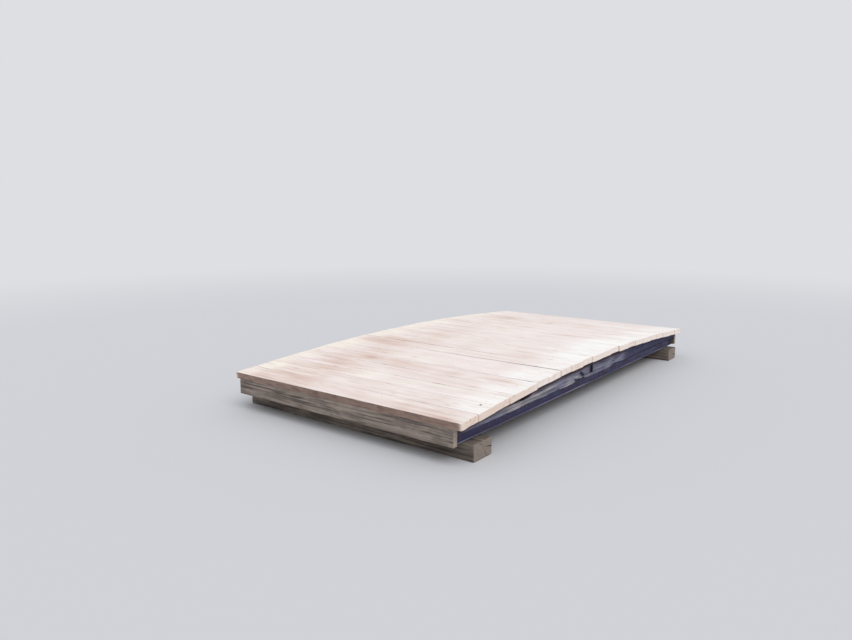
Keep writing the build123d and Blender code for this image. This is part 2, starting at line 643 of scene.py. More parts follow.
@dataclass(frozen=True)
class DeckFinish:
    """Sawn boards bleached by the sun, dusty where they are walked on, browner in the tracks."""

    dusty: Colour = srgb(241, 231, 227)
    rosy: Colour = srgb(237, 219, 219)
    mossy: Colour = srgb(233, 227, 212)
    bleached: Colour = srgb(251, 250, 247)
    cream: Colour = srgb(248, 241, 229)
    brown: Colour = srgb(223, 202, 192)
    stain: Colour = srgb(190, 158, 146)
    # The ends are paler than the trodden top: partly their own bleached tone, partly painted light.
    end: Colour = srgb(250, 239, 232)
    end_ring: Colour = srgb(233, 216, 205)
    end_tan: Colour = srgb(228, 203, 184)
    late: Colour = srgb(206, 180, 167)
    sawn: Colour = srgb(214, 193, 174)
    sawn_ring: Colour = srgb(184, 156, 134)
    joint: Colour = srgb(112, 88, 82)
    knot: Colour = srgb(184, 148, 118)
    crack: Colour = srgb(132, 112, 106)

    def material(self) -> Material:
        """Growth rings round a pith line below each board, bleached and dusted on the top.

        Returns:
            The material, which reads the marks that each board's mesh carries.
        """
        g = Graph("deck_timber")
        here = g.coordinates()
        shifted = g.vector("ADD", here, g.vector_mark("shift"))
        fibre = g.noise(shifted, (210, 4.5, 210), 6, 0.66)
        streak = g.noise(shifted, (34, 1.3, 34), 4)
        rings = self.rings(g, here, shifted)
        grain = g.math("ADD", g.math("MULTIPLY", rings, 0.6), g.math("MULTIPLY", fibre, 0.4))
        knots = g.span(g.cells(shifted, (5.4, 2.6, 1.2)), 0.13, 0.05)
        wood = g.coats(self.sawn, (grain, self.sawn_ring), (g.math("MULTIPLY", knots, 0.8), self.knot))
        dust = self.grained(g, shifted, self.dust(g, here, shifted, streak, knots), fibre, rings)
        mottle = g.noise(here, (17, 30, 24), 4, 0.6)
        tan = g.math("ADD", g.mark("tan"), g.span(mottle, 0.3, 0.52, (0.3, -0.12)))
        end = g.coats(
            self.end,
            (grain, self.end_ring),
            (g.span(mottle, 0.54, 0.7, (0, 0.4)), self.rosy),
            (g.span(tan, 0.0, 1.0, (0, 1), "LINEAR"), self.end_tan),
        )
        soil = g.span(g.noise(here, (30, 9, 30), 3), 0.25, 0.7, (1.0, 0.7))
        colour = g.coats(
            wood,
            (g.mark("top"), dust),
            (g.mark("end"), end),
            (g.math("MULTIPLY", g.mark("joint"), soil), self.joint),
            (g.mark("crack"), self.crack),
        )
        relief = g.math("ADD", g.math("MULTIPLY", fibre, 0.7), g.math("MULTIPLY", rings, -0.3))
        return g.finish(colour, 0.88, g.bump(relief, 0.5, 0.0014))

    def grained(self, g: Graph, shifted: Socket, dust: Socket, fibre: Socket, rings: Socket) -> Socket:
        """Lets late wood, dark fibres, thin splits and grit show faintly through the dust.

        Args:
            g: The material's graph.
            shifted: The coordinates, moved by a different amount on every board.
            dust: The colour of the dust.
            fibre: Fine noise drawn out along the boards.
            rings: The growth rings.

        Returns:
            The colour of the top.
        """
        bare = g.noise(shifted, (9, 1.2, 9), 3)
        split = g.noise(shifted, (120, 1.6, 120), 3)
        grit = g.noise(shifted, (330, 330, 330), 2)
        return g.coats(
            dust,
            (g.math("MULTIPLY", rings, g.span(bare, 0.32, 0.68, (0.03, 0.3))), self.late),
            (g.span(fibre, 0.56, 0.8, (0, 0.42)), self.stain),
            (g.span(split, 0.67, 0.73, (0, 0.5)), self.crack),
            (g.span(grit, 0.64, 0.74, (0, 0.3)), self.stain),
        )

    def dust(self, g: Graph, here: Socket, shifted: Socket, streak: Socket, knots: Socket) -> Socket:
        """The trodden face: dust over the wood, brown where the mesh says so, bleached margins.

        Args:
            g: The material's graph.
            here: The object's coordinates.
            shifted: The same, moved by a different amount on every board.
            streak: Noise drawn out along the boards.
            knots: 1 in the knots.

        Returns:
            The colour of the dust.
        """
        cloud = g.noise(shifted, (8.0, 1.1, 8.0), 5)
        ground = g.noise(here, (2.6, 2.6, 2.6), 4)
        wear = g.noise(shifted, (15, 1.1, 15), 5, 0.7)
        rosy = g.noise(shifted, (9.0, 1.8, 9.0), 4)
        mossy = g.noise(shifted, (7.0, 1.5, 7.0), 4)
        x, y, _ = g.parts(here)
        farther = g.span(x, 0.0, 1.0, (1.0, 3.4))
        brown = g.math("MULTIPLY", g.mark("brown"), g.span(wear, 0.36, 0.64, (0.45, 1.5)))
        for part in (
            g.span(cloud, 0.42, 0.74, (0, 0.40)),
            g.span(streak, 0.48, 0.7, (0, 0.42)),
            g.math("MULTIPLY", farther, g.span(wear, 0.36, 0.64, (-0.16, 0.16))),
            g.span(ground, 0.35, 0.68, (-0.16, 0.14)),
        ):
            brown = g.math("ADD", brown, part)
        margin = g.blend(g.span(y, -0.2, 0.2), self.bleached, self.cream)
        return g.coats(
            self.dusty,
            (g.span(rosy, 0.52, 0.68, (0, 0.55)), self.rosy),
            (g.span(mossy, 0.54, 0.7, (0, 0.5)), self.mossy),
            (g.span(brown, 0.0, 1.0, (0, 1), "LINEAR"), self.brown),
            (g.math("MULTIPLY", g.mark("bleach"), g.span(streak, 0.7, 0.4, (0.72, 1.0))), margin),
            (g.span(wear, 0.42, 0.26, (0, 0.55)), self.bleached),
            (g.span(brown, 1.0, 2.2, (0, 0.9)), self.stain),
            (g.math("MULTIPLY", knots, 0.35), self.stain),
        )

    def rings(self, g: Graph, here: Socket, shifted: Socket) -> Socket:
        """Growth rings: the sine of the distance from the board's pith line, uneven along it.

        Args:
            g: The material's graph.
            here: The object's coordinates.
            shifted: The same, moved by a different amount on every board.

        Returns:
            A value from 0 to 1, where 1 is late wood.
        """
        flat = g.vector("MULTIPLY", g.vector("SUBTRACT", here, g.vector_mark("pith")), (1, 0, 1))
        reach = g.vector("LENGTH", flat, (0, 0, 0))
        uneven = g.noise(shifted, (7, 0.5, 7), 1)
        years = g.math("MULTIPLY", g.noise(reach, (70, 70, 70), 2), 7.0)
        turns = g.math("MULTIPLY", g.math("ADD", reach, g.math("MULTIPLY", uneven, 0.02)), 850.0)
        return g.span(g.math("SINE", g.math("ADD", turns, years)), -0.2, 1.0)


@dataclass(frozen=True)
class OldTimberFinish:
    """Timber left to the weather for years: grey, furrowed, green in places, with painted shade in its
    hollows and under the boards.
    """

    name: str
    grey: Colour
    pale: Colour
    green: Colour
    dark: Colour
    along: tuple[int, int, int]
    moss: float = 0.6
    # The pale tone of the ridges' painted highlight and of the splinters.
    bare: Colour = srgb(196, 189, 190)
    # Painted shade close under the boards.
    under_deck_shade: Colour = srgb(62, 48, 60)
    # Painted shade in hollows, gaps and openings.
    hollow_shade: Colour = srgb(30, 23, 32)

    def material(self) -> Material:
        """Furrows along the grain over a grey ground, with paler ridges (a painted highlight), splits and
        green film.

        Returns:
            The material, which reads the marks that each timber's mesh carries.
        """
        g = Graph(self.name)
        here = g.coordinates()
        fibre = g.noise(here, self.stretch(260.0, 5.0), 8, 0.74)
        furrow = g.noise(here, self.stretch(42.0, 1.6), 6, 0.62)
        split = g.noise(here, self.stretch(95.0, 1.5), 4, 0.6)
        cloud = g.noise(here, (4, 4, 7), 4)
        band = g.noise(here, self.stretch(24.0, 0.9), 4, 0.5)
        film = g.noise(here, self.stretch(12.0, 3.0), 5, 0.65)
        film = g.math("ADD", film, g.math("MULTIPLY", g.mark("film"), 0.16))
        torn = g.math("MULTIPLY", g.noise(here, self.stretch(130.0, 9.0), 5, 0.65), 0.9)
        cleft = g.span(split, 0.595, 0.63)
        # The dark tone of cracks and rot, and of the painted shade.
        dark_and_shade = g.blend(g.span(fibre, 0.35, 0.7, (0, 0.5)), self.dark, self.grey)
        colour = g.coats(
            self.grey,
            (g.span(fibre, 0.36, 0.62), self.pale),
            (g.span(film, 0.44, 0.62, (0, self.moss)), self.green),
            (g.span(band, 0.52, 0.34, (0, 0.45)), self.dark),
            (g.span(furrow, 0.5, 0.36, (0, 0.8)), self.dark),
            (g.span(cloud, 0.55, 0.35, (0, 0.4)), self.dark),
            (g.math("MULTIPLY", g.mark("ridge"), g.span(fibre, 0.36, 0.6, (0.3, 1.2))), self.bare),
            (g.mark("under_deck_shade"), self.under_deck_shade),
            (g.mark("end"), self.end_grain(g)),
            (self.ragged(g, "crack", torn), dark_and_shade),
            (g.math("MULTIPLY", cleft, 0.85), self.dark),
            (self.ragged(g, "hollow_shade", torn), self.hollow_shade),
        )
        relief = g.math("ADD", g.math("MULTIPLY", furrow, 0.8), g.math("MULTIPLY", fibre, 0.5))
        relief = g.math("SUBTRACT", relief, cleft)
        return g.finish(colour, 0.92, g.bump(relief, 0.6, 0.003))

    def ragged(self, g: Graph, mark: str, torn: Socket) -> Socket:
        """A mark whose soft rim is torn into splinters along the grain."""
        return g.span(g.math("ADD", g.mark(mark), torn), 0.72, 1.12)

    def end_grain(self, g: Graph) -> Socket:
        """Growth rings and radial splits, from each point's place off the pith.

        Args:
            g: The material's graph.

        Returns:
            The colour of the timber's ends.
        """
        spoke = g.vector_mark("spoke")
        turn = g.vector("NORMALIZE", spoke, (0, 0, 0))
        split = g.span(g.noise(turn, (2.9, 2.9, 2.9), 5, 0.62), 0.61, 0.645)
        uneven = g.math("MULTIPLY", g.noise(spoke, (16, 16, 16), 3), 0.02)
        reach = g.math("ADD", g.vector("LENGTH", spoke, (0, 0, 0)), uneven)
        rings = g.math("SINE", g.math("MULTIPLY", reach, 1150.0))
        colour = g.blend(g.span(rings, -0.4, 1.0, (0, 0.5)), self.pale, self.grey)
        return g.blend(split, colour, self.dark)

    def stretch(self, across: float, along: float) -> tuple[float, float, float]:
        """Cells a metre on each axis for a pattern drawn out along the timber."""
        return tuple(along if step else across for step in self.along)


@dataclass(frozen=True)
class SteelFinish:
    """Rolled steel with a dull skin, rust in patches and pale edges where the mesh marks them."""

    name: str
    skin: Colour
    rust: Colour
    pale: Colour

    def material(self) -> Material:
        """Rust clouds and runs over the skin, and a pale tone where the mesh marks an edge: dust on the nail
        heads, a painted highlight on the joists' flange toes.

        Returns:
            The material.
        """
        g = Graph(self.name)
        here = g.coordinates()
        cloud = g.noise(here, (5, 12, 12), 8, 0.66)
        run = g.noise(here, (38, 38, 5), 4)
        pit = g.noise(here, (190, 190, 190), 4)
        scale = g.noise(here, (22, 60, 60), 6, 0.7)
        colour = g.coats(
            self.skin,
            (g.span(cloud, 0.5, 0.6, (0, 0.7)), self.rust),
            (g.span(run, 0.56, 0.72, (0, 0.45)), self.rust),
            (g.span(scale, 0.55, 0.6, (0, 0.6)), self.rust),
            (g.span(scale, 0.42, 0.36, (0, 0.25)), self.pale),
            (g.span(pit, 0.55, 0.8, (0, 0.5)), self.rust),
            (g.mark("edge"), self.pale),
        )
        rough = g.span(cloud, 0.4, 0.65, (0.55, 0.85))
        relief = g.math("ADD", pit, g.span(cloud, 0.47, 0.6, (0, 1.5)))
        return g.finish(colour, rough, g.bump(relief, 0.5, 0.0009), Metallic=0.15)


class Line(Enum):
    """The bearer lines, from right to left across the deck."""

    RIGHT = "right"
    CENTRE_RIGHT = "centre_right"
    CENTRE_LEFT = "centre_left"
    LEFT = "left"

    @property
    def outer(self) -> bool:
        """True for the two lines that show under the deck's edges."""
        return self in (Line.RIGHT, Line.LEFT)


@dataclass
class Deck:
    """The deck boards, each worn in its own way on its own seat.

    A patch's row is its station, its place across the deck, its two half sizes and its strength.
    A row of the sunk edges is the board, the place across the deck, the reach and the depth.
    """

    count: int = 22
    division: Division = Division(along=112, across=46, up=7, under=6)
    arris: float = 0.0024
    chip: float = 0.006
    dish: float = 0.0016
    shrink: float = 0.0008
    end_slant: float = 0.0035
    track: float = 0.62
    track_width: float = 0.26
    track_tone: tuple[float, float] = (0.34, 0.08)
    right_margin: tuple[float, float] = (0.84, 1.20)
    left_margin: tuple[float, float] = (0.98, 1.24)
    saw_marks: float = 0.0007
    sunk_height: float = 0.03
    sunk_reach: float = 0.09
    check_floor: tuple[float, float] = (-0.01, 0.02)
    check_reach: tuple[float, float] = (0.12, 0.55)
    check_width: tuple[float, float] = (0.001, 0.002)
    check_depth: tuple[float, float] = (0.002, 0.006)
    spread: float = 0.3
    wide_patch: float = 0.085
    tone: float = 0.16
    stray: float = 0.08
    far_boards: tuple[float, float] = (0.2, 1.2)
    soiled: float = 0.16
    far_soil: float = 0.12
    soil_reach: float = 0.005
    clean_ends: tuple[float, float] = (0.012, 0.03)
    seed: int = 11
    brown_patches: tuple[Patch, ...] = Patch.table(
        (-2.43, 0.75, 0.10, 0.55, 0.55), (-2.38, -0.72, 0.10, 0.14, 0.28),
        (-2.16, 0.86, 0.10, 0.20, 0.22), (-1.93, -0.30, 0.30, 0.22, -0.22),
        (-1.25, 1.00, 0.12, 0.28, -0.20), (-1.02, 0.74, 0.10, 0.16, 0.34),
        (1.36, 0.74, 0.20, 0.18, 0.34), (-2.43, -1.10, 0.11, 0.22, 0.95),
        (-1.48, -0.02, 0.09, 0.34, 0.80), (-1.83, 0.90, 0.18, 0.12, 0.35),
        (1.60, 0.74, 0.30, 0.15, 0.40), (0.91, 0.10, 0.15, 0.10, 0.40),
        (-2.37, 0.00, 0.08, 1.00, 0.30), (-1.00, -0.85, 0.12, 0.30, 0.30),
        (-0.57, -0.05, 0.11, 0.22, 0.30), (-0.68, 0.92, 0.22, 0.32, 0.34),
        (0.10, 0.00, 0.62, 0.95, -0.26), (-1.55, 0.75, 0.28, 0.40, 0.36),
        (-1.45, 0.48, 0.07, 0.10, 0.55), (-1.51, -0.55, 0.10, 0.11, 0.45),
        (-1.66, -0.20, 0.08, 0.32, 0.28), (-1.47, -0.98, 0.04, 0.17, 0.95),
        (-1.066, -0.960, 0.020, 0.022, 0.90), (-1.316, -0.870, 0.018, 0.035, 0.70),
        (-1.736, -0.900, 0.026, 0.040, 0.45), (-1.70, -0.10, 0.12, 0.60, -0.14),
        (-0.89, 1.02, 0.12, 0.25, 0.50), (-0.47, 0.42, 0.15, 0.16, 0.25),
        (-0.54, -0.75, 0.15, 0.12, 0.28), (1.50, 0.07, 0.08, 0.05, 1.00),
        (1.16, -0.40, 0.06, 0.06, 0.80),
    )
    pale_patches: tuple[Patch, ...] = Patch.table(
        (-1.89, 0.10, 0.12, 0.18, 0.75), (-1.93, -0.60, 0.16, 0.30, 0.30),
        (-1.27, 0.15, 0.16, 0.35, 0.25), (-1.25, -1.10, 0.12, 0.25, 0.45),
        (0.25, -0.98, 0.62, 0.26, 0.80), (1.85, -0.75, 0.30, 0.35, 0.35),
        (-2.43, -1.12, 0.10, 0.25, -0.80), (-1.48, -1.12, 0.08, 0.22, -0.35),
        (-1.02, -1.08, 0.10, 0.20, -0.30), (-0.79, 1.10, 0.12, 0.16, -0.50),
        (-0.34, 1.12, 0.12, 0.12, 0.70), (0.05, 1.12, 0.30, 0.14, 0.40),
        (-1.14, 1.12, 0.20, 0.10, 0.50), (-2.16, 1.12, 0.10, 0.10, 0.60),
        (-0.95, -1.02, 0.16, 0.22, 0.40), (0.80, -0.10, 0.60, 0.35, 0.15),
    )
    tan_ends: tuple[Patch, ...] = Patch.table(
        (-2.38, 0.0, 0.10, 1.0, 0.25), (-1.475, 0.0, 0.10, 1.0, 0.35),
        (-0.568, 0.0, 0.10, 1.0, 0.55), (0.80, 0.0, 0.12, 1.0, 0.30),
    )
    sunk_edges: tuple[tuple[int, float, float, float], ...] = (
        (7, -0.95, 0.75, 0.011), (8, 0.65, 0.45, 0.008), (5, -1.20, 0.25, 0.006),
    )
    open_joints: tuple[Patch, ...] = Patch.table(
        (-2.49, 0.00, 0.05, 3.00, 1.00), (-2.27, -1.05, 0.05, 0.40, 0.35),
        (-2.27, 1.15, 0.05, 0.22, 0.45), (-1.81, -0.50, 0.05, 0.30, 0.25),
        (-1.58, -1.15, 0.05, 0.25, 0.55), (-1.58, 0.15, 0.05, 0.40, 0.45),
        (-1.36, -1.20, 0.05, 0.38, 1.10), (-0.91, -1.20, 0.05, 0.55, 1.30),
        (-0.91, -0.30, 0.05, 0.35, 0.35), (-0.68, 0.35, 0.05, 0.50, 0.42),
        (0.23, 0.95, 0.05, 0.50, 0.28), (1.13, -0.20, 0.05, 0.90, 0.36),
        (2.49, 0.00, 0.05, 3.00, 1.00),
    )

    def build(self) -> list[Piece]:
        """Makes every board, from the near end to the far one."""
        finish = DeckFinish().material()
        return [self.board(number, finish) for number in range(1, self.count + 1)]

    def board(self, number: int, finish: Material) -> Piece:
        """Makes one board from its CAD node's place.

        The wrapped timber's top is let down by its wear, checks and sunk edge, and its ends and
        flanks are drawn in by the saw's slant, the saw marks and the shrinkage.

        Args:
            number: The board, counted from the near end.
            finish: The deck's material.

        Returns:
            The board's object.
        """
        place = self.place(number)
        chance = np.random.default_rng(self.seed * 1000 + number)
        noise = self.noise(number)
        wrap = Wrap.round_timber(place.half, self.division, self.worn_arris(place, noise))
        along, _, up = wrap.parts()
        across, cracks = wrap.cracked(self.checks(place, chance), *self.check_floor)
        top = wrap.outward[..., 2].clip(0, 1)
        end, flank = np.abs(wrap.outward[..., 0]), np.abs(wrap.outward[..., 1])
        depth = top * (cracks + self.relief(along, across, place, noise))
        depth = depth + ease(up, 0.0, self.sunk_height) * self.sunk(number, along, across, place)
        sink = end * (0.8 * cracks + self.saw_marks * (1 + noise.at(across * 90, up * 90)))
        along = along - np.sign(along) * self.end_loss(along, across, place, chance) - np.sign(along) * sink
        loss = self.shrink * (0.5 + 0.5 * noise.at(along * 2.2, np.sign(across) * 5))
        across = across - np.sign(across) * flank * loss
        points = place.out(stack(along, across, up - depth))
        edge = place.half[1] - np.abs(across)
        inside = ease(place.half[0] - np.abs(along), *self.clean_ends)
        mixed = ease(place.centre[0], *self.far_boards)
        marks = {
            "top": top,
            "end": np.maximum(end, (1 - inside) * flank),
            "crack": np.clip(cracks / 0.005, 0, 0.85),
            "shift": np.broadcast_to(chance.uniform(-9, 9, 3), points.shape),
            "pith": self.pith(along, place, noise, chance),
            "joint": self.soiling(points, wrap.outward, edge, inside, mixed, chance),
            **self.tones(points, place.centre[0], mixed, noise, chance),
        }
        node = f"deck_board_{number:02d}"
        piece = Skin(points, marks).build(f"{node}_worn", finish, "deck_timber")
        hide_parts(node)
        return piece

    def noise(self, number: int) -> Lattice:
        """A board's own noise."""
        return Lattice(self.seed * 100 + number)

    def pith(self, along: Array, place: Place, noise: Lattice, chance: Chance) -> Array:
        """The tree's heart line under a board, which the growth rings go round.

        It lies a constant depth under the board, plus a climb in proportion to the place along,
        plus slow noise.

        Args:
            along: Places along the board.
            place: The board's place.
            noise: The board's noise.
            chance: The board's draws.

        Returns:
            The nearest point of the heart line to each point.
        """
        climb = chance.uniform(0.008, 0.03) * chance.choice((-1, 1)) * along
        climb = climb + 0.006 * noise.layered(along * 1.7, 8)
        heart = np.array([0.0, chance.uniform(-0.07, 0.07), -chance.uniform(0.06, 0.13)])
        return place.out(heart + climb[..., None] * [0, 0, 1])

    def soiling(
        self, points: Array, outward: Array, edge: Array, inside: Array, far: float, chance: Chance
    ) -> Array:
        """How soiled each point is: the flanks and the edges of the top, most at open joints.

        Args:
            points: The board's points, in the row frame.
            outward: Their outward directions, in the board's own axes.
            edge: How far each point lies in from the board's long edges.
            inside: 0 at the board's clean ends, 1 further in.
            far: 1 on a far board, 0 on a near one.
            chance: The board's draws.

        Returns:
            A share of the joints' colour, from 0 to 1.
        """
        end, flank = np.abs(outward[..., 0]), np.abs(outward[..., 1])
        top = outward[..., 2].clip(0, 1)
        soiled = chance.uniform(0.0, self.soiled) + self.openness(points[..., 0], points[..., 1])
        soiled = soiled + self.far_soil * far
        joint = flank * (1 - 0.5 * top) + 0.6 * bell(edge, self.soil_reach) * top
        joint = joint * soiled * (1 - end) * inside
        joint = joint + end * bell(edge, 0.8 * self.soil_reach) * (soiled - 0.6).clip(0)
        return np.clip(joint, 0, 1)

    def tones(
        self, points: Array, centre: float, far: float, noise: Lattice, chance: Chance
    ) -> dict[str, Array]:
        """The marks that tint a board, each with the board's own share in it.

        Args:
            points: The board's points, in the row frame.
            centre: The board's station.
            far: 1 on a far board, 0 on a near one.
            noise: The board's noise.
            chance: The board's draws.

        Returns:
            How brown and how bleached the top is, and how tan the ends are.
        """
        x, y = points[..., 0], points[..., 1]
        tone = chance.uniform(-self.tone, self.tone) * (1 + far)
        tan, shy = chance.uniform(-self.stray, self.stray, 2)
        return {
            "brown": self.brownness(x, y, centre, tone),
            "tan": self.tanness(x, tan),
            "bleach": self.bleaching(x, y, centre, shy, noise),
        }

    @staticmethod
    def place(number: int) -> Place:
        """Where a board of the CAD model lies, run from right to left."""
        return Place.of_node(f"deck_board_{number:02d}", (0, 1, 0))

    def sunk(self, number: int, along: Array, across: Array, place: Place) -> Array:
        """How far a board's far edge has sunk: a bell along the board, eased in across it.

        Args:
            number: The board.
            along: Places along it.
            across: Places across it.
            place: The board's place.

        Returns:
            The depth at each point, which is nothing on most boards.
        """
        slope = ease(-across, place.half[1] - self.sunk_reach, place.half[1])
        depths = [
            depth * bell(along + place.centre[1] - line, reach)
            for board, line, reach, depth in self.sunk_edges
            if board == number
        ]
        return slope * sum(depths, np.zeros(along.shape))

    def own_tone(self, patches: Sequence[Patch], x: Array, y: Array, centre: float) -> Array:
        """Sums patches, the wide ones nearly even across a board so that they step at its joints.

        Args:
            patches: The patches, in the row frame.
            x: Stations.
            y: Places across the deck.
            centre: The board's station.

        Returns:
            The sum of their strengths at each point.
        """
        held = centre + self.spread * (x - centre)
        return sum(patch.at(held if patch.half_first > self.wide_patch else x, y) for patch in patches)

    def brownness(self, x: Array, y: Array, centre: float, tone: float) -> Array:
        """How brown each point is: a bell round the track, the patches and the board's own tone.

        Args:
            x: Stations.
            y: Places across the deck.
            centre: The board's station.
            tone: The board's own tone.

        Returns:
            A share of brown, not yet held between 0 and 1.
        """
        level, slope = self.track_tone
        track = bell(y - self.track, self.track_width) * (level - slope * x)
        return tone + track + self.own_tone(self.brown_patches, x, y, centre)

    def tanness(self, x: Array, tone: float) -> Array:
        """How tan the sawn ends are: more towards the near end, and on a few boards."""
        return 0.1 + tone + 0.5 * ease(-x, 1.2, 1.8) + sum(patch.at(x, 0) for patch in self.tan_ends)

    def bleaching(self, x: Array, y: Array, centre: float, shy: float, noise: Lattice) -> Array:
        """How bleached each point is: most on both margins, where nobody walks, and in patches.

        Args:
            x: Stations.
            y: Places across the deck.
            centre: The board's station.
            shy: How far the board's own margins are shifted.
            noise: The board's noise.

        Returns:
            A share of the bleached colour, from 0 to 1.
        """
        ragged = shy + 0.05 * noise.layered(x * 9, y * 3)
        right = ease(-y + ragged, *self.right_margin) * (0.8 + 0.2 * bell(x - 0.3, 0.7))
        left = 0.7 * ease(y + ragged, *self.left_margin)
        return np.clip(right + left + self.own_tone(self.pale_patches, x, y, centre), 0, 1)

    def openness(self, x: Array, y: Array) -> Array:
        """How open the joints are: most are packed with dust, and a few have lost it."""
        return sum(patch.at(x, y) for patch in self.open_joints)

    def worn_arris(self, place: Place, noise: Lattice) -> Array:
        """Radius of the arrises: uneven along the board, with larger chips here and there.

        Args:
            place: The board's place.
            noise: The board's noise.

        Returns:
            A radius for each row and column.
        """
        run = Wrap.length(self.division)[:, :1] * place.half[0]
        ring = Wrap.section(self.division)
        uneven = 1 + 0.5 * noise.layered(run * 6, ring[:, 0] * 3, ring[:, 1] * 3)
        chips = ease(noise.at(run * 9 + 5, ring[:, 0] * 2, ring[:, 1] * 2), 0.55, 0.9)
        return self.arris * uneven + self.chip * chips

    def relief(self, along: Array, across: Array, place: Place, noise: Lattice) -> Array:
        """How far the worn top lies below the sawn one: a shallow dish, waves and fine ridges.

        Args:
            along: Places along the board.
            across: Places across it.
            place: The board's place.
            noise: The board's noise.

        Returns:
            The depth at each point.
        """
        dish = self.dish * (1 - (across / place.half[1]) ** 2) * (0.6 + 0.4 * noise.at(along * 1.3, 3))
        waves = 0.0008 * (1 + noise.layered(along * 3, across * 14))
        ridges = 0.0005 * (1 + noise.layered(along * 5, across * 60))
        return dish + waves + ridges

    def checks(self, place: Place, chance: Chance) -> list[Check]:
        """A few drying cracks, most of them open at an end of the board.

        Args:
            place: The board's place.
            chance: The board's draws.

        Returns:
            Up to three checks from the ends, and one in the middle.
        """
        found = []
        for _ in range(int(chance.integers(1, 4))):
            end, reach = chance.choice((-1, 1)), chance.uniform(*self.check_reach)
            across = chance.uniform(-0.75, 0.75) * place.half[1]
            width, depth = chance.uniform(*self.check_width), chance.uniform(*self.check_depth)
            found.append(Check.from_end(place.half[0], end, reach, across, depth, width, 0.004))
        middle = chance.uniform(-0.8, 0.8)
        across = chance.uniform(-0.7, 0.7) * place.half[1]
        return [*found, Check(across, middle - 0.25, middle + 0.25, 0.002, 0.0012, 0.003)]

    def end_loss(self, along: Array, across: Array, place: Place, chance: Chance) -> Array:
        """How much a slanting saw cut takes off each end, more on one side of the board.

        Args:
            along: Places along the board.
            across: Places across it.
            place: The board's place.
            chance: The board's draws.

        Returns:
            The loss at each point.
        """
        slants = self.end_slant * chance.uniform(0, 1, 2)
        leans = chance.choice((-1, 1), 2)
        near_end = ease(np.abs(along), place.half[0] - 0.06, place.half[0] - 0.004)
        lean = np.where(along < 0, leans[0], leans[1]) * across / place.half[1]
        return near_end * np.where(along < 0, slants[0], slants[1]) * (1 + lean) / 2


@dataclass(frozen=True)
class SiltFinish:
    """Trodden dust and grit."""

    fine: Colour = srgb(233, 221, 215)
    grit: Colour = srgb(196, 180, 170)

    def material(self) -> Material:
        """Grains of two sizes over a cloudy ground.

        Returns:
            The material.
        """
        g = Graph("silt")
        here = g.coordinates()
        grain = g.noise(here, (420, 420, 420), 3, 0.6)
        cloud = g.noise(here, (9, 9, 9), 3)
        share = g.math("ADD", g.span(grain, 0.42, 0.62, (0, 0.8)), g.span(cloud, 0.45, 0.7, (0, 0.3)))
        colour = g.blend(g.span(share, 0.0, 1.0), self.fine, self.grit)
        return g.finish(colour, 0.95, g.bump(grain, 0.7, 0.001))


@dataclass
class Silt:
    """Dust packed into the joints between the boards, washed out where a joint stands open.

    The profile's rows are a share of the joint's half width and a drop in millimetres.
    """

    rows: int = 150
    overlap: float = 0.0026
    below: float = 0.0011
    washed: float = 0.032
    short: float = 0.009
    ripple: float = 0.0005
    profile: tuple[tuple[float, float], ...] = (
        (-1.0, 0.9), (-0.6, 0.32), (-0.2, 0.04), (0.2, 0.04), (0.6, 0.32), (1.0, 0.9),
        (0.7, 9.0), (-0.7, 9.0),
    )
    seed: int = 17

    def build(self, deck: Deck) -> list[Piece]:
        """Makes one strip for each joint."""
        finish = SiltFinish().material()
        return [self.strip(number, deck, finish) for number in range(1, deck.count)]

    def edge(self, number: int, side: int, y: Array, deck: Deck) -> tuple[Array, Array, Array]:
        """One long upper edge of a board, before wear.

        Args:
            number: The board.
            side: 1 for its far edge, -1 for its near one.
            y: Places across the deck.
            deck: The deck, whose wear the edge follows.

        Returns:
            Points along the edge, the board's upward axis and how far the worn top lies below.
        """
        place = deck.place(number)
        along = y - place.centre[1]
        across = np.full(along.shape, side * place.half[1])
        worn = deck.relief(along, across, place, deck.noise(number))
        worn = worn + deck.sunk(number, along, across, place)
        points = place.out(stack(along, across, np.full(along.shape, place.half[2])))
        return points, place.axes[2], worn

    def strip(self, number: int, deck: Deck, finish: Material) -> Piece:
        """Packs the joint beyond a board: a low dome between the two edges, over a narrow keel.

        With u from -1 to 1 across the joint, the top is u * half width wide and lies the wear, a
        share of a millimetre and the wash below the edges, lower still by 0.9 mm times u squared.

        Args:
            number: The board before the joint.
            deck: The deck.
            finish: The dust's material.

        Returns:
            The strip.
        """
        sides = [deck.place(k) for k in (number, number + 1)]
        right = max(side.centre[1] - side.half[0] for side in sides) + self.short
        left = min(side.centre[1] + side.half[0] for side in sides) - self.short
        y = np.linspace(right, left, self.rows)
        first, up_first, worn_first = self.edge(number, 1, y, deck)
        second, up_second, worn_second = self.edge(number + 1, -1, y, deck)
        noise = Lattice(self.seed + number)
        middle, gap = (first + second) / 2, second - first
        width = np.linalg.norm(gap, axis=-1)
        half = (width / 2 + self.overlap)[:, None]
        aside = np.array([1.0, 0.0, 0.0])
        up = (up_first + up_second) / 2
        washed = self.washed * deck.openness(middle[:, 0], y).clip(0, 1)
        ragged = self.ripple * (1 + noise.layered(y * 25)) + 0.35 * washed * noise.layered(y * 9 + 40)
        depth = np.maximum(worn_first, worn_second) + self.below + washed + ragged
        u, drop = np.array(self.profile).T
        down = depth[:, None] + drop * 0.001
        points = middle[:, None] + (half * u)[..., None] * aside - down[..., None] * up
        return Skin(points, {}, domed=False).build(f"silt_{number:02d}", finish, "deck_timber")


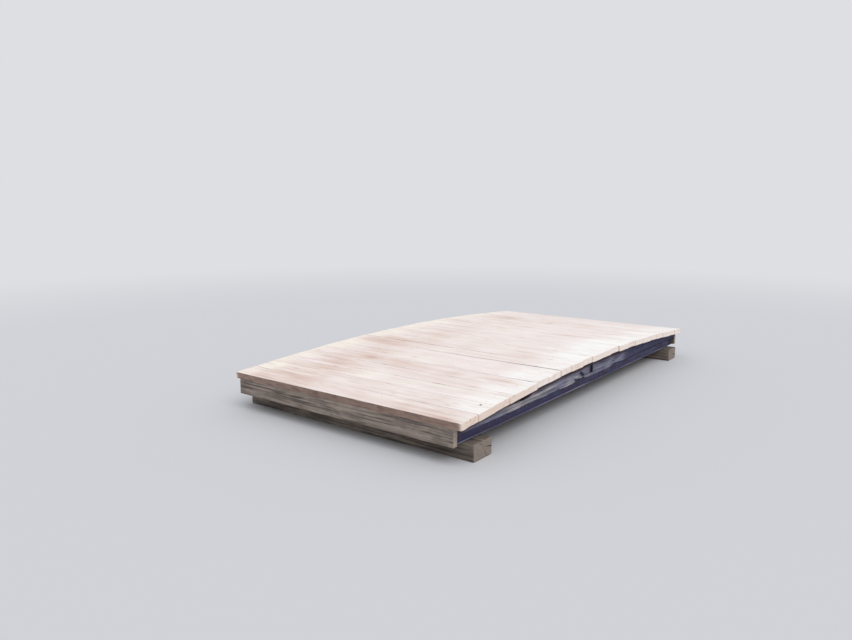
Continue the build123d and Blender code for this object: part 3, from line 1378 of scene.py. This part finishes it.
@dataclass(frozen=True)
class Head:
    """A round fastener head: a low dome over a short shank, with its rim sunk below the face.

    The rings are given as shares of the radius and of the dome's height.
    """

    radius: float
    height: float
    sink: float
    segments: int = 10
    rings: tuple[tuple[float, float], ...] = ((0.001, 0.0), (0.55, 0.3), (0.9, 0.75), (1.0, 1.0), (1.0, 3.2))

    def dome(self, spot: Array) -> Array:
        """The head's points: rings that drop ever faster towards the rim, and then the shank.

        Args:
            spot: Where it is driven into the face, in the timber's own axes.

        Returns:
            Rings, places on the ring and coordinates.
        """
        radii, drops = np.array(self.rings).T * [[self.radius], [self.height]]
        turn = np.linspace(0, 2 * math.pi, self.segments, endpoint=False)
        ring = stack(np.cos(turn), np.sin(turn))
        level = np.broadcast_to(-drops[:, None], (len(radii), self.segments))
        local = np.concatenate([radii[:, None, None] * ring[None], level[..., None]], axis=-1)
        return local + spot - [0, 0, self.sink - self.height]


@dataclass
class Fasteners:
    """Nail heads over the bearers, most of them dusty, and one dark bolt near a board's right end."""

    nail: Head = Head(radius=0.0052, height=0.0016, sink=0.0022)
    bolt: Head = Head(radius=0.0098, height=0.005, sink=0.001, segments=18)
    spread: float = 0.062
    wander: float = 0.012
    end_levels: tuple[float, float] = (0.243, 0.272)
    end_wander: float = 0.006
    bolted_board: int = 2
    bolt_place: tuple[float, float] = (-1.206, 0.067)
    seed: int = 23

    def build(self, deck: Deck) -> list[Piece]:
        """Makes all the nails as one mesh, and the bolt.

        Args:
            deck: The deck, whose boards they are driven into.

        Returns:
            The two pieces.
        """
        chance = np.random.default_rng(self.seed)
        lines = [np.mean(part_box(f"bearer_{line.value}"), axis=0)[1] for line in Line]
        nails = [*self.deck_nails(deck, lines, chance), *self.end_nails(lines, chance)]
        heads, dusts = (np.array(values) for values in zip(*nails))
        steel = SteelFinish("nail_steel", srgb(120, 108, 104), srgb(126, 96, 80), srgb(220, 207, 202))
        dark = SteelFinish("bolt_steel", srgb(112, 106, 110), srgb(122, 94, 80), srgb(124, 116, 120))
        place = deck.place(self.bolted_board)
        station, side = self.bolt_place
        spot = np.array([station - place.centre[1], side, place.half[2]])
        bolt = place.out(self.bolt.dome(spot))
        return [
            self.join("deck_nails", heads, dusts, steel.material()),
            self.join("deck_bolt", bolt[None], np.zeros(1), dark.material()),
        ]

    def deck_nails(self, deck: Deck, lines: Sequence[float], chance: Chance) -> list[tuple]:
        """Two nails through each board into each bearer.

        Args:
            deck: The deck.
            lines: The bearers' lines across it.
            chance: The draws for the nails.

        Returns:
            The points of each head and how dusty it is.
        """
        found = []
        for number in range(1, deck.count + 1):
            place = deck.place(number)
            for line, side in product(lines, (-1, 1)):
                jitter = chance.uniform(-self.wander, self.wander, 2)
                station = line - place.centre[1] + jitter[0]
                spot = np.array([station, side * self.spread + jitter[1], place.half[2]])
                found.append((place.out(self.nail.dome(spot)), chance.uniform(0.55, 1.0)))
        return found

    def end_nails(self, lines: Sequence[float], chance: Chance) -> list[tuple]:
        """Two nails through each end board into the end of each bearer.

        Args:
            lines: The bearers' lines across the deck.
            chance: The draws for the nails.

        Returns:
            The points of each head and how dusty it is.
        """
        found = []
        for end, outward in (("near", -1.0), ("far", 1.0)):
            low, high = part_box(f"end_board_{end}")
            axes = np.array([[0.0, outward, 0.0], [0.0, 0.0, 1.0], [outward, 0.0, 0.0]])
            face = Place(np.array([low[0] if outward < 0 else high[0], 0.0, 0.0]), axes, np.zeros(3))
            for line, level in product(lines, self.end_levels):
                jitter = chance.uniform(-self.end_wander, self.end_wander, 2)
                spot = np.array([outward * line + jitter[0], level + jitter[1], 0])
                found.append((face.out(self.nail.dome(spot)), chance.uniform(0.0, 0.35)))
        return found

    def join(self, name: str, points: Array, dusts: Array, finish: Material) -> Piece:
        """Writes heads into one mesh, closed above and below by a flat face.

        Args:
            name: The piece's name.
            points: Heads, rings, places on the ring and coordinates.
            dusts: How dusty each head is.
            finish: The material.

        Returns:
            The new object.
        """
        heads, rows, columns = points.shape[:3]
        grid = np.arange(heads * rows * columns).reshape(heads, rows, columns)
        nxt = np.roll(grid, -1, axis=2)
        quads = stack(grid[:, :-1], grid[:, 1:], nxt[:, 1:], nxt[:, :-1]).reshape(-1, 4)
        ends = [face for head in grid for face in (head[0], head[-1][::-1])]
        mesh = bpy.data.meshes.new(name)
        write_faces(mesh, points.reshape(-1, 3), quads, ends)
        write_marks(mesh, {"edge": np.repeat(dusts, rows * columns)[:, None]})
        return add_piece(name, mesh, finish, "joist_steel")


@dataclass(frozen=True)
class Face:
    """A bearer's points in side view, with what their wear and tones depend on.

    The side is a number for each flank, which gives it noise of its own, and seen is 1 on the
    one flank that shows in the photograph.
    """

    x: Array
    z: Array
    side: Array
    seen: Array
    noise: Lattice

    def wavered(self) -> tuple[Array, Array]:
        """The stations and heights, moved by layered noise so that a patch's rim wavers."""
        x = self.x + 0.02 * self.noise.layered(self.x * 14, self.z * 40)
        return x, self.z + 0.005 * self.noise.layered(self.x * 16, self.z * 30, 3.0)

    def patched(self, patches: Sequence[Patch], x: Array, z: Array) -> Array:
        """Sums patches at stations and heights, held from 0 to 1, on the flank that shows."""
        return np.clip(sum(patch.at(x, z) for patch in patches), 0, 1) * self.seen


@dataclass
class Bearers:
    """The cambered timbers under the boards: furrowed, rounded on top and eaten away below.

    The patches lie on the right bearer's outer face, each a row of its station, its height, its
    two half sizes and its strength. The foot line says where the sound wood starts on that face,
    as stations and heights.
    """

    outer_division: Division = Division(along=380, across=10, up=30, under=10)
    inner_division: Division = Division(along=150, across=8, up=14, under=8)
    arris: float = 0.004
    ridge_height: float = 0.66
    ridge_proud: float = 0.007
    ridge_width: float = 0.1
    ridge_waver: float = 0.06
    rot: float = 0.022
    furrow: float = 0.0035
    foot_rot: float = 0.25
    foot_level: float = 0.237
    foot_shade: float = 0.12
    # How far below the seats the painted shade under the boards reaches.
    under_deck_shade: float = 0.058
    # Painted shadow on the right bearer's far part: its strength, and the stations where it sets in.
    dark_and_shade: float = 0.72
    far_shade_from: tuple[float, float] = (0.5, 0.9)
    film: Patch = Patch(-1.30, 0.262, 0.55, 0.020, 1.0)
    room: tuple[float, float, float] = (0.001, 0.3, 0.001)
    wall_shade: tuple[float, float] = (0.3, 1.0)
    seed: int = 41
    gouges: tuple[Patch, ...] = Patch.table(
        (-0.342, 0.301, 0.034, 0.012, 1.3), (-0.318, 0.284, 0.031, 0.013, 1.3),
        (-0.286, 0.264, 0.030, 0.011, 1.3), (-1.490, 0.299, 0.140, 0.013, 1.6),
        (-0.468, 0.256, 0.020, 0.009, 1.2), (0.45, 0.282, 0.070, 0.007, 0.8),
        (1.15, 0.300, 0.050, 0.010, 0.9),
    )
    foot_line: tuple[tuple[float, float], ...] = (
        (-2.45, 0.222), (-1.60, 0.220), (-1.52, 0.227), (-1.49, 0.222), (-1.45, 0.238), (-1.37, 0.236),
        (-1.29, 0.220), (-1.00, 0.218), (-0.91, 0.222), (-0.87, 0.239), (-0.83, 0.242), (-0.77, 0.224),
        (-0.70, 0.216), (-0.54, 0.212), (-0.50, 0.222), (-0.48, 0.243), (-0.44, 0.255), (-0.40, 0.258),
        (-0.36, 0.246), (-0.32, 0.248), (-0.28, 0.251), (-0.24, 0.234), (-0.10, 0.231), (0.30, 0.234),
        (0.50, 0.246), (1.00, 0.242), (1.50, 0.250), (2.45, 0.236),
    )
    # Painted shade in the hollow under the boards and round the mortise, on the face that shows.
    opening_shade_patches: tuple[Patch, ...] = Patch.table(
        (-1.430, 0.311, 0.080, 0.014, 1.4), (-1.480, 0.302, 0.095, 0.015, 1.5),
        (-1.480, 0.291, 0.035, 0.008, 0.7), (-0.086, 0.304, 0.018, 0.036, 1.0),
        (-0.116, 0.270, 0.026, 0.009, 1.2), (-0.160, 0.343, 0.026, 0.007, 0.6),
    )
    splinters: tuple[Patch, ...] = Patch.table(
        (-1.50, 0.256, 0.34, 0.032, 0.46), (-1.59, 0.277, 0.10, 0.011, 0.80),
        (-1.72, 0.286, 0.06, 0.012, 0.55), (-1.30, 0.295, 0.05, 0.010, 0.45),
        (-1.42, 0.281, 0.12, 0.006, 0.45), (-1.22, 0.277, 0.14, 0.010, 0.70),
        (-1.00, 0.288, 0.13, 0.006, 0.75), (-1.00, 0.279, 0.11, 0.015, 0.30),
        (-1.64, 0.262, 0.13, 0.032, 0.30), (-0.80, 0.300, 0.35, 0.018, 0.14),
        (-1.45, 0.262, 0.05, 0.010, -0.35), (-0.87, 0.258, 0.09, 0.012, -0.15),
        (-0.61, 0.258, 0.09, 0.022, 0.46), (-0.65, 0.235, 0.15, 0.009, 0.60),
        (-1.60, 0.235, 0.13, 0.009, 0.50), (-1.12, 0.235, 0.18, 0.008, 0.35),
        (-0.45, 0.281, 0.035, 0.008, 0.75), (-0.39, 0.269, 0.040, 0.008, 0.50),
        (-0.34, 0.257, 0.035, 0.007, 0.35), (-0.32, 0.302, 0.26, 0.034, 0.17),
        (-0.22, 0.249, 0.09, 0.013, 0.40), (1.30, 0.285, 0.25, 0.008, 0.30),
    )

    def build(self) -> list[Piece]:
        """Makes the four bearers.

        Returns:
            The bearers, from right to left.
        """
        timber = OldTimberFinish(
            "bearer_timber",
            grey=srgb(86, 88, 114),
            pale=srgb(148, 145, 165),
            green=srgb(102, 110, 110),
            dark=srgb(42, 43, 76),
            along=(1, 0, 0),
        ).material()
        return [self.bearer(line, timber) for line in Line]

    def top_outline(self, name: str) -> tuple[Array, Array]:
        """The bearer's top in side view: the highest CAD corner at each station off the mortise.

        Args:
            name: The bearer's CAD node.

        Returns:
            The stations and the heights.
        """
        corners = node_corners(name)
        low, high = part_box("midspan_tie")
        off_tie = (corners[:, 0] < low[0] - 0.02) | (corners[:, 0] > high[0] + 0.02)
        upper = corners[off_tie | (corners[:, 2] > high[2] + 0.01)]
        stations = np.unique(upper[:, 0].round(4))
        heights = [upper[np.abs(upper[:, 0] - x) < 1e-3, 2].max() for x in stations]
        return stations, np.array(heights)

    def bearer(self, line: Line, timber: Material) -> Piece:
        """Makes one bearer whose height follows the CAD outline along its length.

        Its flanks are drawn in by furrows, by rot and away from a proud ridge, and its foot is
        eaten away from below.

        Args:
            line: Which bearer.
            timber: Its material.

        Returns:
            The bearer's object.
        """
        node = f"bearer_{line.value}"
        low, high = np.array(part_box(node))
        centre = (low + high) / 2
        division = self.outer_division if line.outer else self.inner_division
        noise = Lattice(self.seed + list(Line).index(line))
        half_along = (high[0] - low[0]) / 2
        run = Wrap.length(division)[:, :1] * half_along
        depth = np.interp(run + centre[0], *self.top_outline(node)) - low[2]
        seat = np.interp(run + centre[0], *self.top_outline(f"bearer_{Line.LEFT.value}"))
        arris = self.arris * (1 + 0.5 * noise.layered(run * 7, Wrap.section(division)[:, 0]))
        wrap = Wrap.round_timber((half_along, (high[1] - low[1]) / 2, depth / 2), division, arris)
        along, across, up = wrap.parts()
        share = (up + depth / 2) / depth
        flank = np.abs(wrap.outward[..., 1])
        side = np.sign(across) * 3
        seen = (line is Line.RIGHT) * (across < 0)
        face = Face(along + centre[0], share * depth + low[2], side, seen, noise)
        rot = self.rot * self.decayed(face)
        light = face.patched(self.splinters, *face.wavered())
        waver = self.ridge_waver * noise.at(along * 2, side)
        ridge = bell(share - self.ridge_height - waver, self.ridge_width)
        furrows = self.furrow * (0.5 + 0.5 * noise.layered(along * 4, (up + across) * 70 + side))
        inward = self.ridge_proud * (1 - ridge) * ease(share, 0.0, 1.0) + furrows * (1 - light) + rot
        across = across - np.sign(across) * flank * inward
        foot = wrap.outward[..., 2].clip(-1, 0)
        up = up - foot * self.rot * self.foot_rot * ease(noise.layered(along * 8, across * 20), 0.1, 0.7)
        points = stack(along, across, up) + [centre[0], centre[1], low[2]]
        points[..., 2] += depth / 2
        # Painted shade where the top lies below the boards' seats, in the hollow.
        hollow = ease(seat - depth - low[2], 0.004, 0.015) * (3 * wrap.outward[..., 2]).clip(0, 1)
        # Darker where the wood has rotted away, plus the painted shade.
        decay_and_shade = np.clip(1.1 * ease(rot, 0.001, 0.008) * flank + self.shade(face, hollow, flank), 0, 1)
        marks = {
            "film": self.film.at(*face.wavered()) * seen,
            # Painted shade close under the boards.
            "under_deck_shade": self.under_deck_shading(face, seat) * flank,
            # Paler along the proud ridge, a painted highlight, and in the splinter patches.
            "ridge": np.clip(0.08 * ridge + light, 0, 1) * flank,
            "crack": decay_and_shade * (1 - 0.8 * light),
            # Painted shade in the hollow, the gap under the boards and round the mortise.
            "hollow_shade": np.maximum(0.9 * hollow, face.patched(self.opening_shade_patches, face.x, face.z)),
        }
        piece = Skin(points, marks).build(f"{node}_worn", timber, "bearer_timber")
        self.cut_mortise(piece)
        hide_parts(node)
        return piece

    def under_deck_shading(self, face: Face, seat: Array) -> Array:
        """Painted shade on a flank close under the boards: two smooth steps up towards the seats.

        Args:
            face: The bearer's points in side view.
            seat: The height of the boards' seats along the bearer.

        Returns:
            A share of the painted shade's tone, from 0 to 1.
        """
        under = self.under_deck_shade - (seat - face.z) + 0.008 * face.noise.layered(face.x * 9, face.side)
        return 0.55 * ease(under, -0.034, 0.006) + 0.4 * ease(under, -0.004, 0.01)

    def shade(self, face: Face, hollow: Array, flank: Array) -> Array:
        """The painted shade in the hollow, at the foot and on the far part of the right bearer.

        Args:
            face: The bearer's points in side view.
            hollow: 1 in the hollow on top.
            flank: 1 on the flanks.

        Returns:
            The sum of their shares.
        """
        # Painted shadow over the far part of the face that shows.
        far_shade_line = face.x + 0.15 * face.noise.layered(face.x * 3, face.z * 12, face.side)
        dark_and_shade = self.dark_and_shade * ease(far_shade_line, *self.far_shade_from) * face.seen
        return hollow + self.foot_shade * ease(self.foot_level - face.z, 0.0, 0.01) + dark_and_shade * flank

    def decayed(self, face: Face) -> Array:
        """Where the wood has gone, 0 to 1: below a ragged line, and in gouges above it.

        The line's height comes from the given stations by straight lines on the side that shows,
        and from slow noise elsewhere; finer noise makes it ragged.

        Args:
            face: The bearer's points in side view.

        Returns:
            How far the decay has gone at each point.
        """
        x, z, side, seen, noise = face.x, face.z, face.side, face.seen, face.noise
        stations, levels = np.array(self.foot_line).T
        given = np.interp(x, stations, levels)
        slow = 0.246 + 0.014 * noise.layered(x * 2.5, side)
        rough = 0.013 - 0.009 * seen * ease(-x, 0.1, 0.3)
        line = np.where(seen > 0, given, slow) + rough * noise.layered(x * 14, z * 18, side, layers=4)
        torn = noise.layered(x * 18, z * 60, side)
        gone = ease(line - z, -0.002, 0.006) * (0.75 + 0.25 * torn)
        gouged = sum(patch.at(x + 0.01 * torn, z) for patch in self.gouges)
        return np.clip(gone + ease(gouged + 0.3 * torn, 0.4, 0.75) * seen, 0, 1)

    def cut_mortise(self, piece: Piece) -> None:
        """Cuts the tie's section out of the bearer, a little larger, right through.

        Args:
            piece: The bearer's object, whose mesh is replaced by the cut one.
        """
        low, high = np.array(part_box("midspan_tie"))
        room = np.array(self.room)
        corners = list(product(*zip(low - room, high + room)))
        faces = [(0, 1, 3, 2), (4, 6, 7, 5), (0, 4, 5, 1), (2, 3, 7, 6), (0, 2, 6, 4), (1, 5, 7, 3)]
        mesh = bpy.data.meshes.new("mortise")
        mesh.from_pydata(corners, [], faces)
        cutter = bpy.data.objects.new("mortise", mesh)
        bpy.context.collection.objects.link(cutter)
        cut = piece.modifiers.new("mortise", "BOOLEAN")
        cut.operation = "DIFFERENCE"
        cut.object = cutter
        graph = bpy.context.evaluated_depsgraph_get()
        whole = piece.data
        piece.data = bpy.data.meshes.new_from_object(piece.evaluated_get(graph))
        piece.data.name = piece.name
        piece.modifiers.clear()
        bpy.data.meshes.remove(whole)
        bpy.data.objects.remove(cutter)
        bpy.data.meshes.remove(mesh)
        self.darken_walls(piece.data, low - room, high + room)

    def darken_walls(self, mesh: bpy.types.Mesh, low: Array, high: Array) -> None:
        """Marks the mortise's rims with painted shade, most on the side that the light misses.

        Args:
            mesh: The bearer's mesh, already cut.
            low: The mortise's lower corner.
            high: Its upper corner.
        """
        flat = np.empty(3 * len(mesh.vertices), np.float32)
        mesh.vertices.foreach_get("co", flat)
        x, _, z = flat.reshape(-1, 3).T
        close = 1e-5
        rim = (x > low[0] - close) & (x < high[0] + close) & (z > low[2] - close) & (z < high[2] + close)
        for mark in ("hollow_shade", "crack"):
            layer = mesh.attributes[mark].data
            values = np.empty(len(layer), np.float32)
            layer.foreach_get("value", values)
            values[rim] = np.interp(x[rim], (low[0], high[0]), self.wall_shade)
            layer.foreach_set("value", values)


@dataclass
class Joists:
    """Rolled joists: one section carried along the span, its toes nibbled by rust."""

    flange: float = 0.006
    web: float = 0.004
    root: float = 0.005
    toe: float = 0.0018
    nibble: float = 0.0012
    # Where the painted highlight on the toes is brightest: station and reach.
    toe_highlight_spot: tuple[float, float] = (-0.42, 0.2)
    rows: int = 160
    seed: int = 61

    def build(self) -> list[Piece]:
        """Makes the four joists.

        Returns:
            The joists, from right to left.
        """
        # The dark navy skin is painted shade of the deck above; the pale tone is a painted highlight on the
        # flange toes.
        steel = SteelFinish("joist_steel", srgb(50, 52, 90), srgb(76, 58, 68), srgb(158, 154, 186))
        finish = steel.material()
        return [self.joist(line, finish) for line in Line]

    def section(self, width: float, depth: float) -> tuple[Array, Array]:
        """The section's outline: a quarter drawn with round toe and root, then mirrored twice.

        Args:
            width: The flange's width.
            depth: The joist's depth.

        Returns:
            Points across and up round the section, and how near each is to a flange's toe.
        """
        turn = np.linspace(0, math.pi / 2, 4)
        toe_top = stack(np.sin(turn), np.cos(turn)) * self.toe
        toe_top += [width / 2 - self.toe, depth / 2 - self.toe]
        inner = depth / 2 - self.flange
        toe_low = stack(np.cos(turn), -np.sin(turn)) * self.toe
        toe_low += [width / 2 - self.toe, inner + self.toe]
        root = stack(-np.sin(turn), np.cos(turn)) * self.root
        root += [self.web / 2 + self.root, inner - self.root]
        flat = stack(np.linspace(0.12, 0.85, 4) * width / 2, np.full(4, depth / 2))
        web = np.array([[self.web / 2, inner * 0.45], [self.web / 2, 0.0001]])
        quarter = np.vstack([flat, toe_top, toe_low, root, web])
        lower = quarter[::-1] * [1, -1]
        right = np.vstack([quarter, lower])
        outline = np.vstack([right, right[::-1] * [-1, 1]])
        return outline, ease(np.abs(outline[:, 0]), width / 2 - 0.012, width / 2 - 0.001)

    def joist(self, line: Line, finish: Material) -> Piece:
        """Carries the section along the span between the CAD node's ends.

        Args:
            line: Which joist.
            finish: Its material.

        Returns:
            The joist's object.
        """
        node = f"joist_{line.value}"
        low, high = np.array(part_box(node))
        size = high - low
        outline, toe = self.section(size[1], size[2])
        noise = Lattice(self.seed + list(Line).index(line))
        along = np.linspace(low[0], high[0], self.rows)[:, None]
        bite = self.nibble * toe * (0.5 + 0.5 * noise.layered(along * 30, outline[:, 1] * 9))
        across = outline[:, 0] - np.sign(outline[:, 0]) * bite
        middle = (low + high) / 2
        points = stack(along, across + middle[1], outline[:, 1] + middle[2])
        # Painted highlight along the flange toes, uneven along the span and brightest round the highlight
        # spot.
        dusty = 0.45 + 0.55 * noise.layered(along * 2.6, outline[:, 1] * 4, layers=4)
        station, reach = self.toe_highlight_spot
        marks = {"edge": np.clip(toe * (dusty + 0.3 * bell(along - station, reach)), 0, 1)}
        piece = Skin(points, marks, domed=False).build(f"{node}_rolled", finish, "joist_steel")
        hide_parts(node)
        return piece


@dataclass
class CrossTimbers:
    """The timbers across the span: the midspan tie, the end boards and the sleeper sills."""

    sill_division: Division = Division(along=150, across=34, up=16, under=8, cap=16)
    board_division: Division = Division(along=150, across=8, up=20, under=8)
    tie_division: Division = Division(along=90, across=8, up=10, under=8)
    sill_arris: float = 0.011
    board_arris: float = 0.003
    tie_arris: float = 0.002
    rough: float = 0.03
    off_pith: float = 0.3
    check_sizes: tuple[float, float, float] = (0.12, 0.045, 0.05)
    check_reach: tuple[float, float] = (0.1, 0.5)
    seed: int = 83

    def build(self) -> list[Piece]:
        """Makes the tie, both end boards and both sills.

        Returns:
            The five pieces.
        """
        sleeper = OldTimberFinish(
            "sill_timber",
            grey=srgb(112, 100, 92),
            pale=srgb(142, 130, 120),
            green=srgb(104, 102, 84),
            dark=srgb(58, 50, 46),
            along=(0, 1, 0),
            moss=0.35,
        ).material()
        weathered = OldTimberFinish(
            "end_board_timber",
            grey=srgb(134, 121, 112),
            pale=srgb(166, 152, 141),
            green=srgb(118, 116, 98),
            dark=srgb(70, 60, 58),
            along=(0, 1, 0),
            moss=0.3,
        ).material()
        # The tie's near-black tones are painted shade inside the mortises.
        dark_and_shade = OldTimberFinish(
            "tie_timber",
            grey=srgb(44, 39, 54),
            pale=srgb(62, 56, 70),
            green=srgb(50, 50, 54),
            dark=srgb(26, 22, 34),
            along=(0, 1, 0),
        ).material()
        made = [self.timber("midspan_tie", self.tie_division, self.tie_arris, dark_and_shade, "bearer_timber")]
        board = (self.board_division, self.board_arris)
        sill = (self.sill_division, self.sill_arris)
        for end in ("near", "far"):
            made += [
                self.timber(f"end_board_{end}", *board, weathered, "bearer_timber"),
                self.timber(f"sill_{end}", *sill, sleeper, "sill_timber"),
            ]
        return made

    def timber(self, node: str, division: Division, arris: float, finish: Material, slot: str) -> Piece:
        """Makes one straight timber across the span, in its CAD node's box.

        Args:
            node: The CAD node that it replaces.
            division: The number of samples.
            arris: The usual radius of its arrises.
            finish: Its material.
            slot: The record's material slot.

        Returns:
            The timber's object.
        """
        low, high = np.array(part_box(node))
        axes = np.array([[0.0, 1.0, 0.0], [1.0, 0.0, 0.0], [0.0, 0.0, 1.0]])
        place = Place((low + high) / 2, axes, (high - low)[[1, 0, 2]] / 2)
        seed = self.seed + sum(ord(letter) for letter in node)
        noise, chance = Lattice(seed), np.random.default_rng(seed)
        run = Wrap.length(division)[:, :1] * place.half[0]
        ring = Wrap.section(division)
        radius = arris * (1 + 0.5 * noise.layered(run * 5, ring[:, 0] * 2, ring[:, 1] * 2))
        wrap = Wrap.round_timber(place.half, division, radius)
        along, _, up = wrap.parts()
        size = place.half[1:].min()
        checks = self.checks(place, chance, size)
        across, cracks = wrap.cracked(checks, -0.4 * size, 0.6 * size)
        rough = self.rough * size * (0.5 + 0.5 * noise.layered(along * 4, across * 60, up * 60))
        upper = wrap.outward[..., 2] > 0
        inward = stack(rough, rough, cracks * upper + rough)
        local = stack(along, across, up) - wrap.outward * inward
        local[..., 2] -= self.top_slope(node, local[..., 1], local[..., 2], place)
        end = np.abs(wrap.outward[..., 0])
        heart = chance.uniform(-self.off_pith, self.off_pith, 2) * place.half[1:]
        marks = {
            "ridge": np.zeros(along.shape),
            "end": end,
            "spoke": stack(across - heart[0], up - heart[1], 0 * up),
            "crack": np.clip(cracks / (self.check_sizes[0] * size), 0, 1) * upper * (1 - end),
        }
        piece = Skin(place.out(local), marks).build(f"{node}_worn", finish, slot)
        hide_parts(node)
        return piece

    def checks(self, place: Place, chance: Chance, size: float) -> list[Check]:
        """Deep drying cracks from both ends along the top.

        Args:
            place: The timber's place.
            chance: The timber's draws.
            size: The smaller half size of its section, which the checks' sizes follow.

        Returns:
            Two checks from each end.
        """
        found = []
        for end in (-1, 1, -1, 1):
            reach = chance.uniform(*self.check_reach)
            across = chance.uniform(-0.6, 0.6) * place.half[1]
            sizes = [share * size for share in self.check_sizes]
            found.append(Check.from_end(place.half[0], end, reach, across, *sizes))
        return found

    def top_slope(self, node: str, across: Array, up: Array, place: Place) -> Array:
        """Lowers an end board's top to the boards' slope, in proportion to the height.

        Args:
            node: The CAD node, whose top edges give the slope.
            across: Places across the timber.
            up: Places up it.
            place: The timber's place.

        Returns:
            How far each point comes down, which is nothing on a level top.
        """
        corners, half = node_corners(node), place.half
        at_edge = [np.abs(corners[:, 0] - place.centre[0] - side * half[1]) < 1e-3 for side in (-1, 1)]
        low, high = (corners[near, 2].max() for near in at_edge)
        share = (across / half[1] + 1) / 2
        drop = place.centre[2] + half[2] - (low + (high - low) * share)
        return drop * (up + half[2]) / (2 * half[2])


@dataclass
class Studio:
    """Pale floor, soft lamps and the photograph's viewpoint."""

    eye: tuple[float, float, float] = (-6.3169, -3.9395, 1.8526)
    heading: float = 37.691
    pitch: float = -9.182
    roll: float = -0.022
    focal_pixels: float = 674.13
    image_width: float = 852.0
    sensor: float = 36.0
    floor_radius: float = 60.0
    floor_sides: int = 96
    fade: tuple[float, float] = (6.0, 17.0)
    floor_tone: Colour = srgb(206, 207, 210)
    backdrop_tone: Colour = srgb(222, 223, 226)
    sky_tone: Colour = (0.96, 0.97, 1.0, 1.0)
    sky_strength: float = 0.74
    sun_strength: float = 1.25
    sun_turn: tuple[float, float, float] = (37.0, 0.0, -26.0)
    sun_softness: float = 50.0

    def build(self) -> None:
        """Sets the view, the floor, the lamps and the camera."""
        bpy.context.scene.view_settings.view_transform = "Standard"
        self.floor()
        self.sky()
        self.lamp()
        self.camera()

    def floor(self) -> None:
        """A round floor that fades into the backdrop far off, and is clear from below."""
        g = Graph("studio_floor")
        reach = g.vector("LENGTH", g.coordinates(), (0, 0, 0))
        near = g.node("BsdfDiffuse", {"Color": self.floor_tone}).outputs[0]
        far = g.node("Emission", {"Color": self.backdrop_tone}).outputs[0]
        share = g.span(reach, *self.fade)
        mixed = g.node("MixShader", {0: share, 1: near, 2: far}).outputs[0]
        below = g.node("NewGeometry", {}).outputs["Backfacing"]
        clear = g.node("BsdfTransparent", {}).outputs[0]
        turn = np.linspace(0, 2 * math.pi, self.floor_sides, endpoint=False)
        rim = stack(np.cos(turn), np.sin(turn), 0.0) * self.floor_radius
        mesh = bpy.data.meshes.new("studio_floor")
        mesh.from_pydata(rim.tolist(), [], [list(range(self.floor_sides))])
        mesh.materials.append(g.close(g.node("MixShader", {0: below, 1: mixed, 2: clear})))
        floor = bpy.data.objects.new("studio_floor", mesh)
        bpy.context.collection.objects.link(floor)
        floor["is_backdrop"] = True

    def sky(self) -> None:
        """Even light from all round; the camera and glossy rays see the backdrop's tone."""
        g = Graph("studio", world=True)
        light = g.node("Background", {"Color": self.sky_tone, "Strength": self.sky_strength})
        seen = g.node("Background", {"Color": self.backdrop_tone})
        path = g.node("LightPath", {}).outputs
        either = g.math("MAXIMUM", path["Is Camera Ray"], path["Is Glossy Ray"])
        shaders = {0: either, 1: light.outputs[0], 2: seen.outputs[0]}
        bpy.context.scene.world = g.close(g.node("MixShader", shaders))

    def lamp(self) -> None:
        """The one lamp: a sun with a wide disc, turned by three angles in degrees."""
        data = bpy.data.lights.new("key", "SUN")
        data.energy = self.sun_strength
        data.angle = math.radians(self.sun_softness)
        lamp = bpy.data.objects.new("key", data)
        lamp.rotation_euler = [math.radians(a) for a in self.sun_turn]
        bpy.context.collection.objects.link(lamp)

    def camera(self) -> None:
        """The photograph's camera, found from the deck's outline."""
        data = bpy.data.cameras.new("photo_camera")
        data.sensor_width = self.sensor
        data.lens = self.focal_pixels / self.image_width * self.sensor
        camera = bpy.data.objects.new("photo_camera", data)
        upright = Matrix.Rotation(math.radians(90 + self.pitch), 4, "X")
        rolled = Matrix.Rotation(math.radians(-self.roll), 4, "Z")
        turned = Matrix.Rotation(math.radians(self.heading - 90), 4, "Z")
        camera.matrix_world = Matrix.Translation(self.eye) @ turned @ upright @ rolled
        bpy.context.collection.objects.link(camera)
        bpy.context.scene.camera = camera


def main() -> None:
    """Builds the sub-assemblies in order and reports each piece."""
    logging.basicConfig(level=logging.INFO, format="%(name)s: %(message)s")
    cad_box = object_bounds()
    Studio().build()
    deck = Deck()
    groups = {
        "deck": deck.build(),
        "silt": Silt().build(deck),
        "fasteners": Fasteners().build(deck),
        "bearers": Bearers().build(),
        "joists": Joists().build(),
        "cross timbers": CrossTimbers().build(),
    }
    for group, made in groups.items():
        for piece in made:
            LOG.info("%s: %s, %d faces", group, piece.name, len(piece.data.polygons))
    boxes = {"cad": cad_box, "visual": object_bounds()}
    {key: [list(corner) for corner in box] for key, box in boxes.items()}


if __name__ == "__main__":
    main()
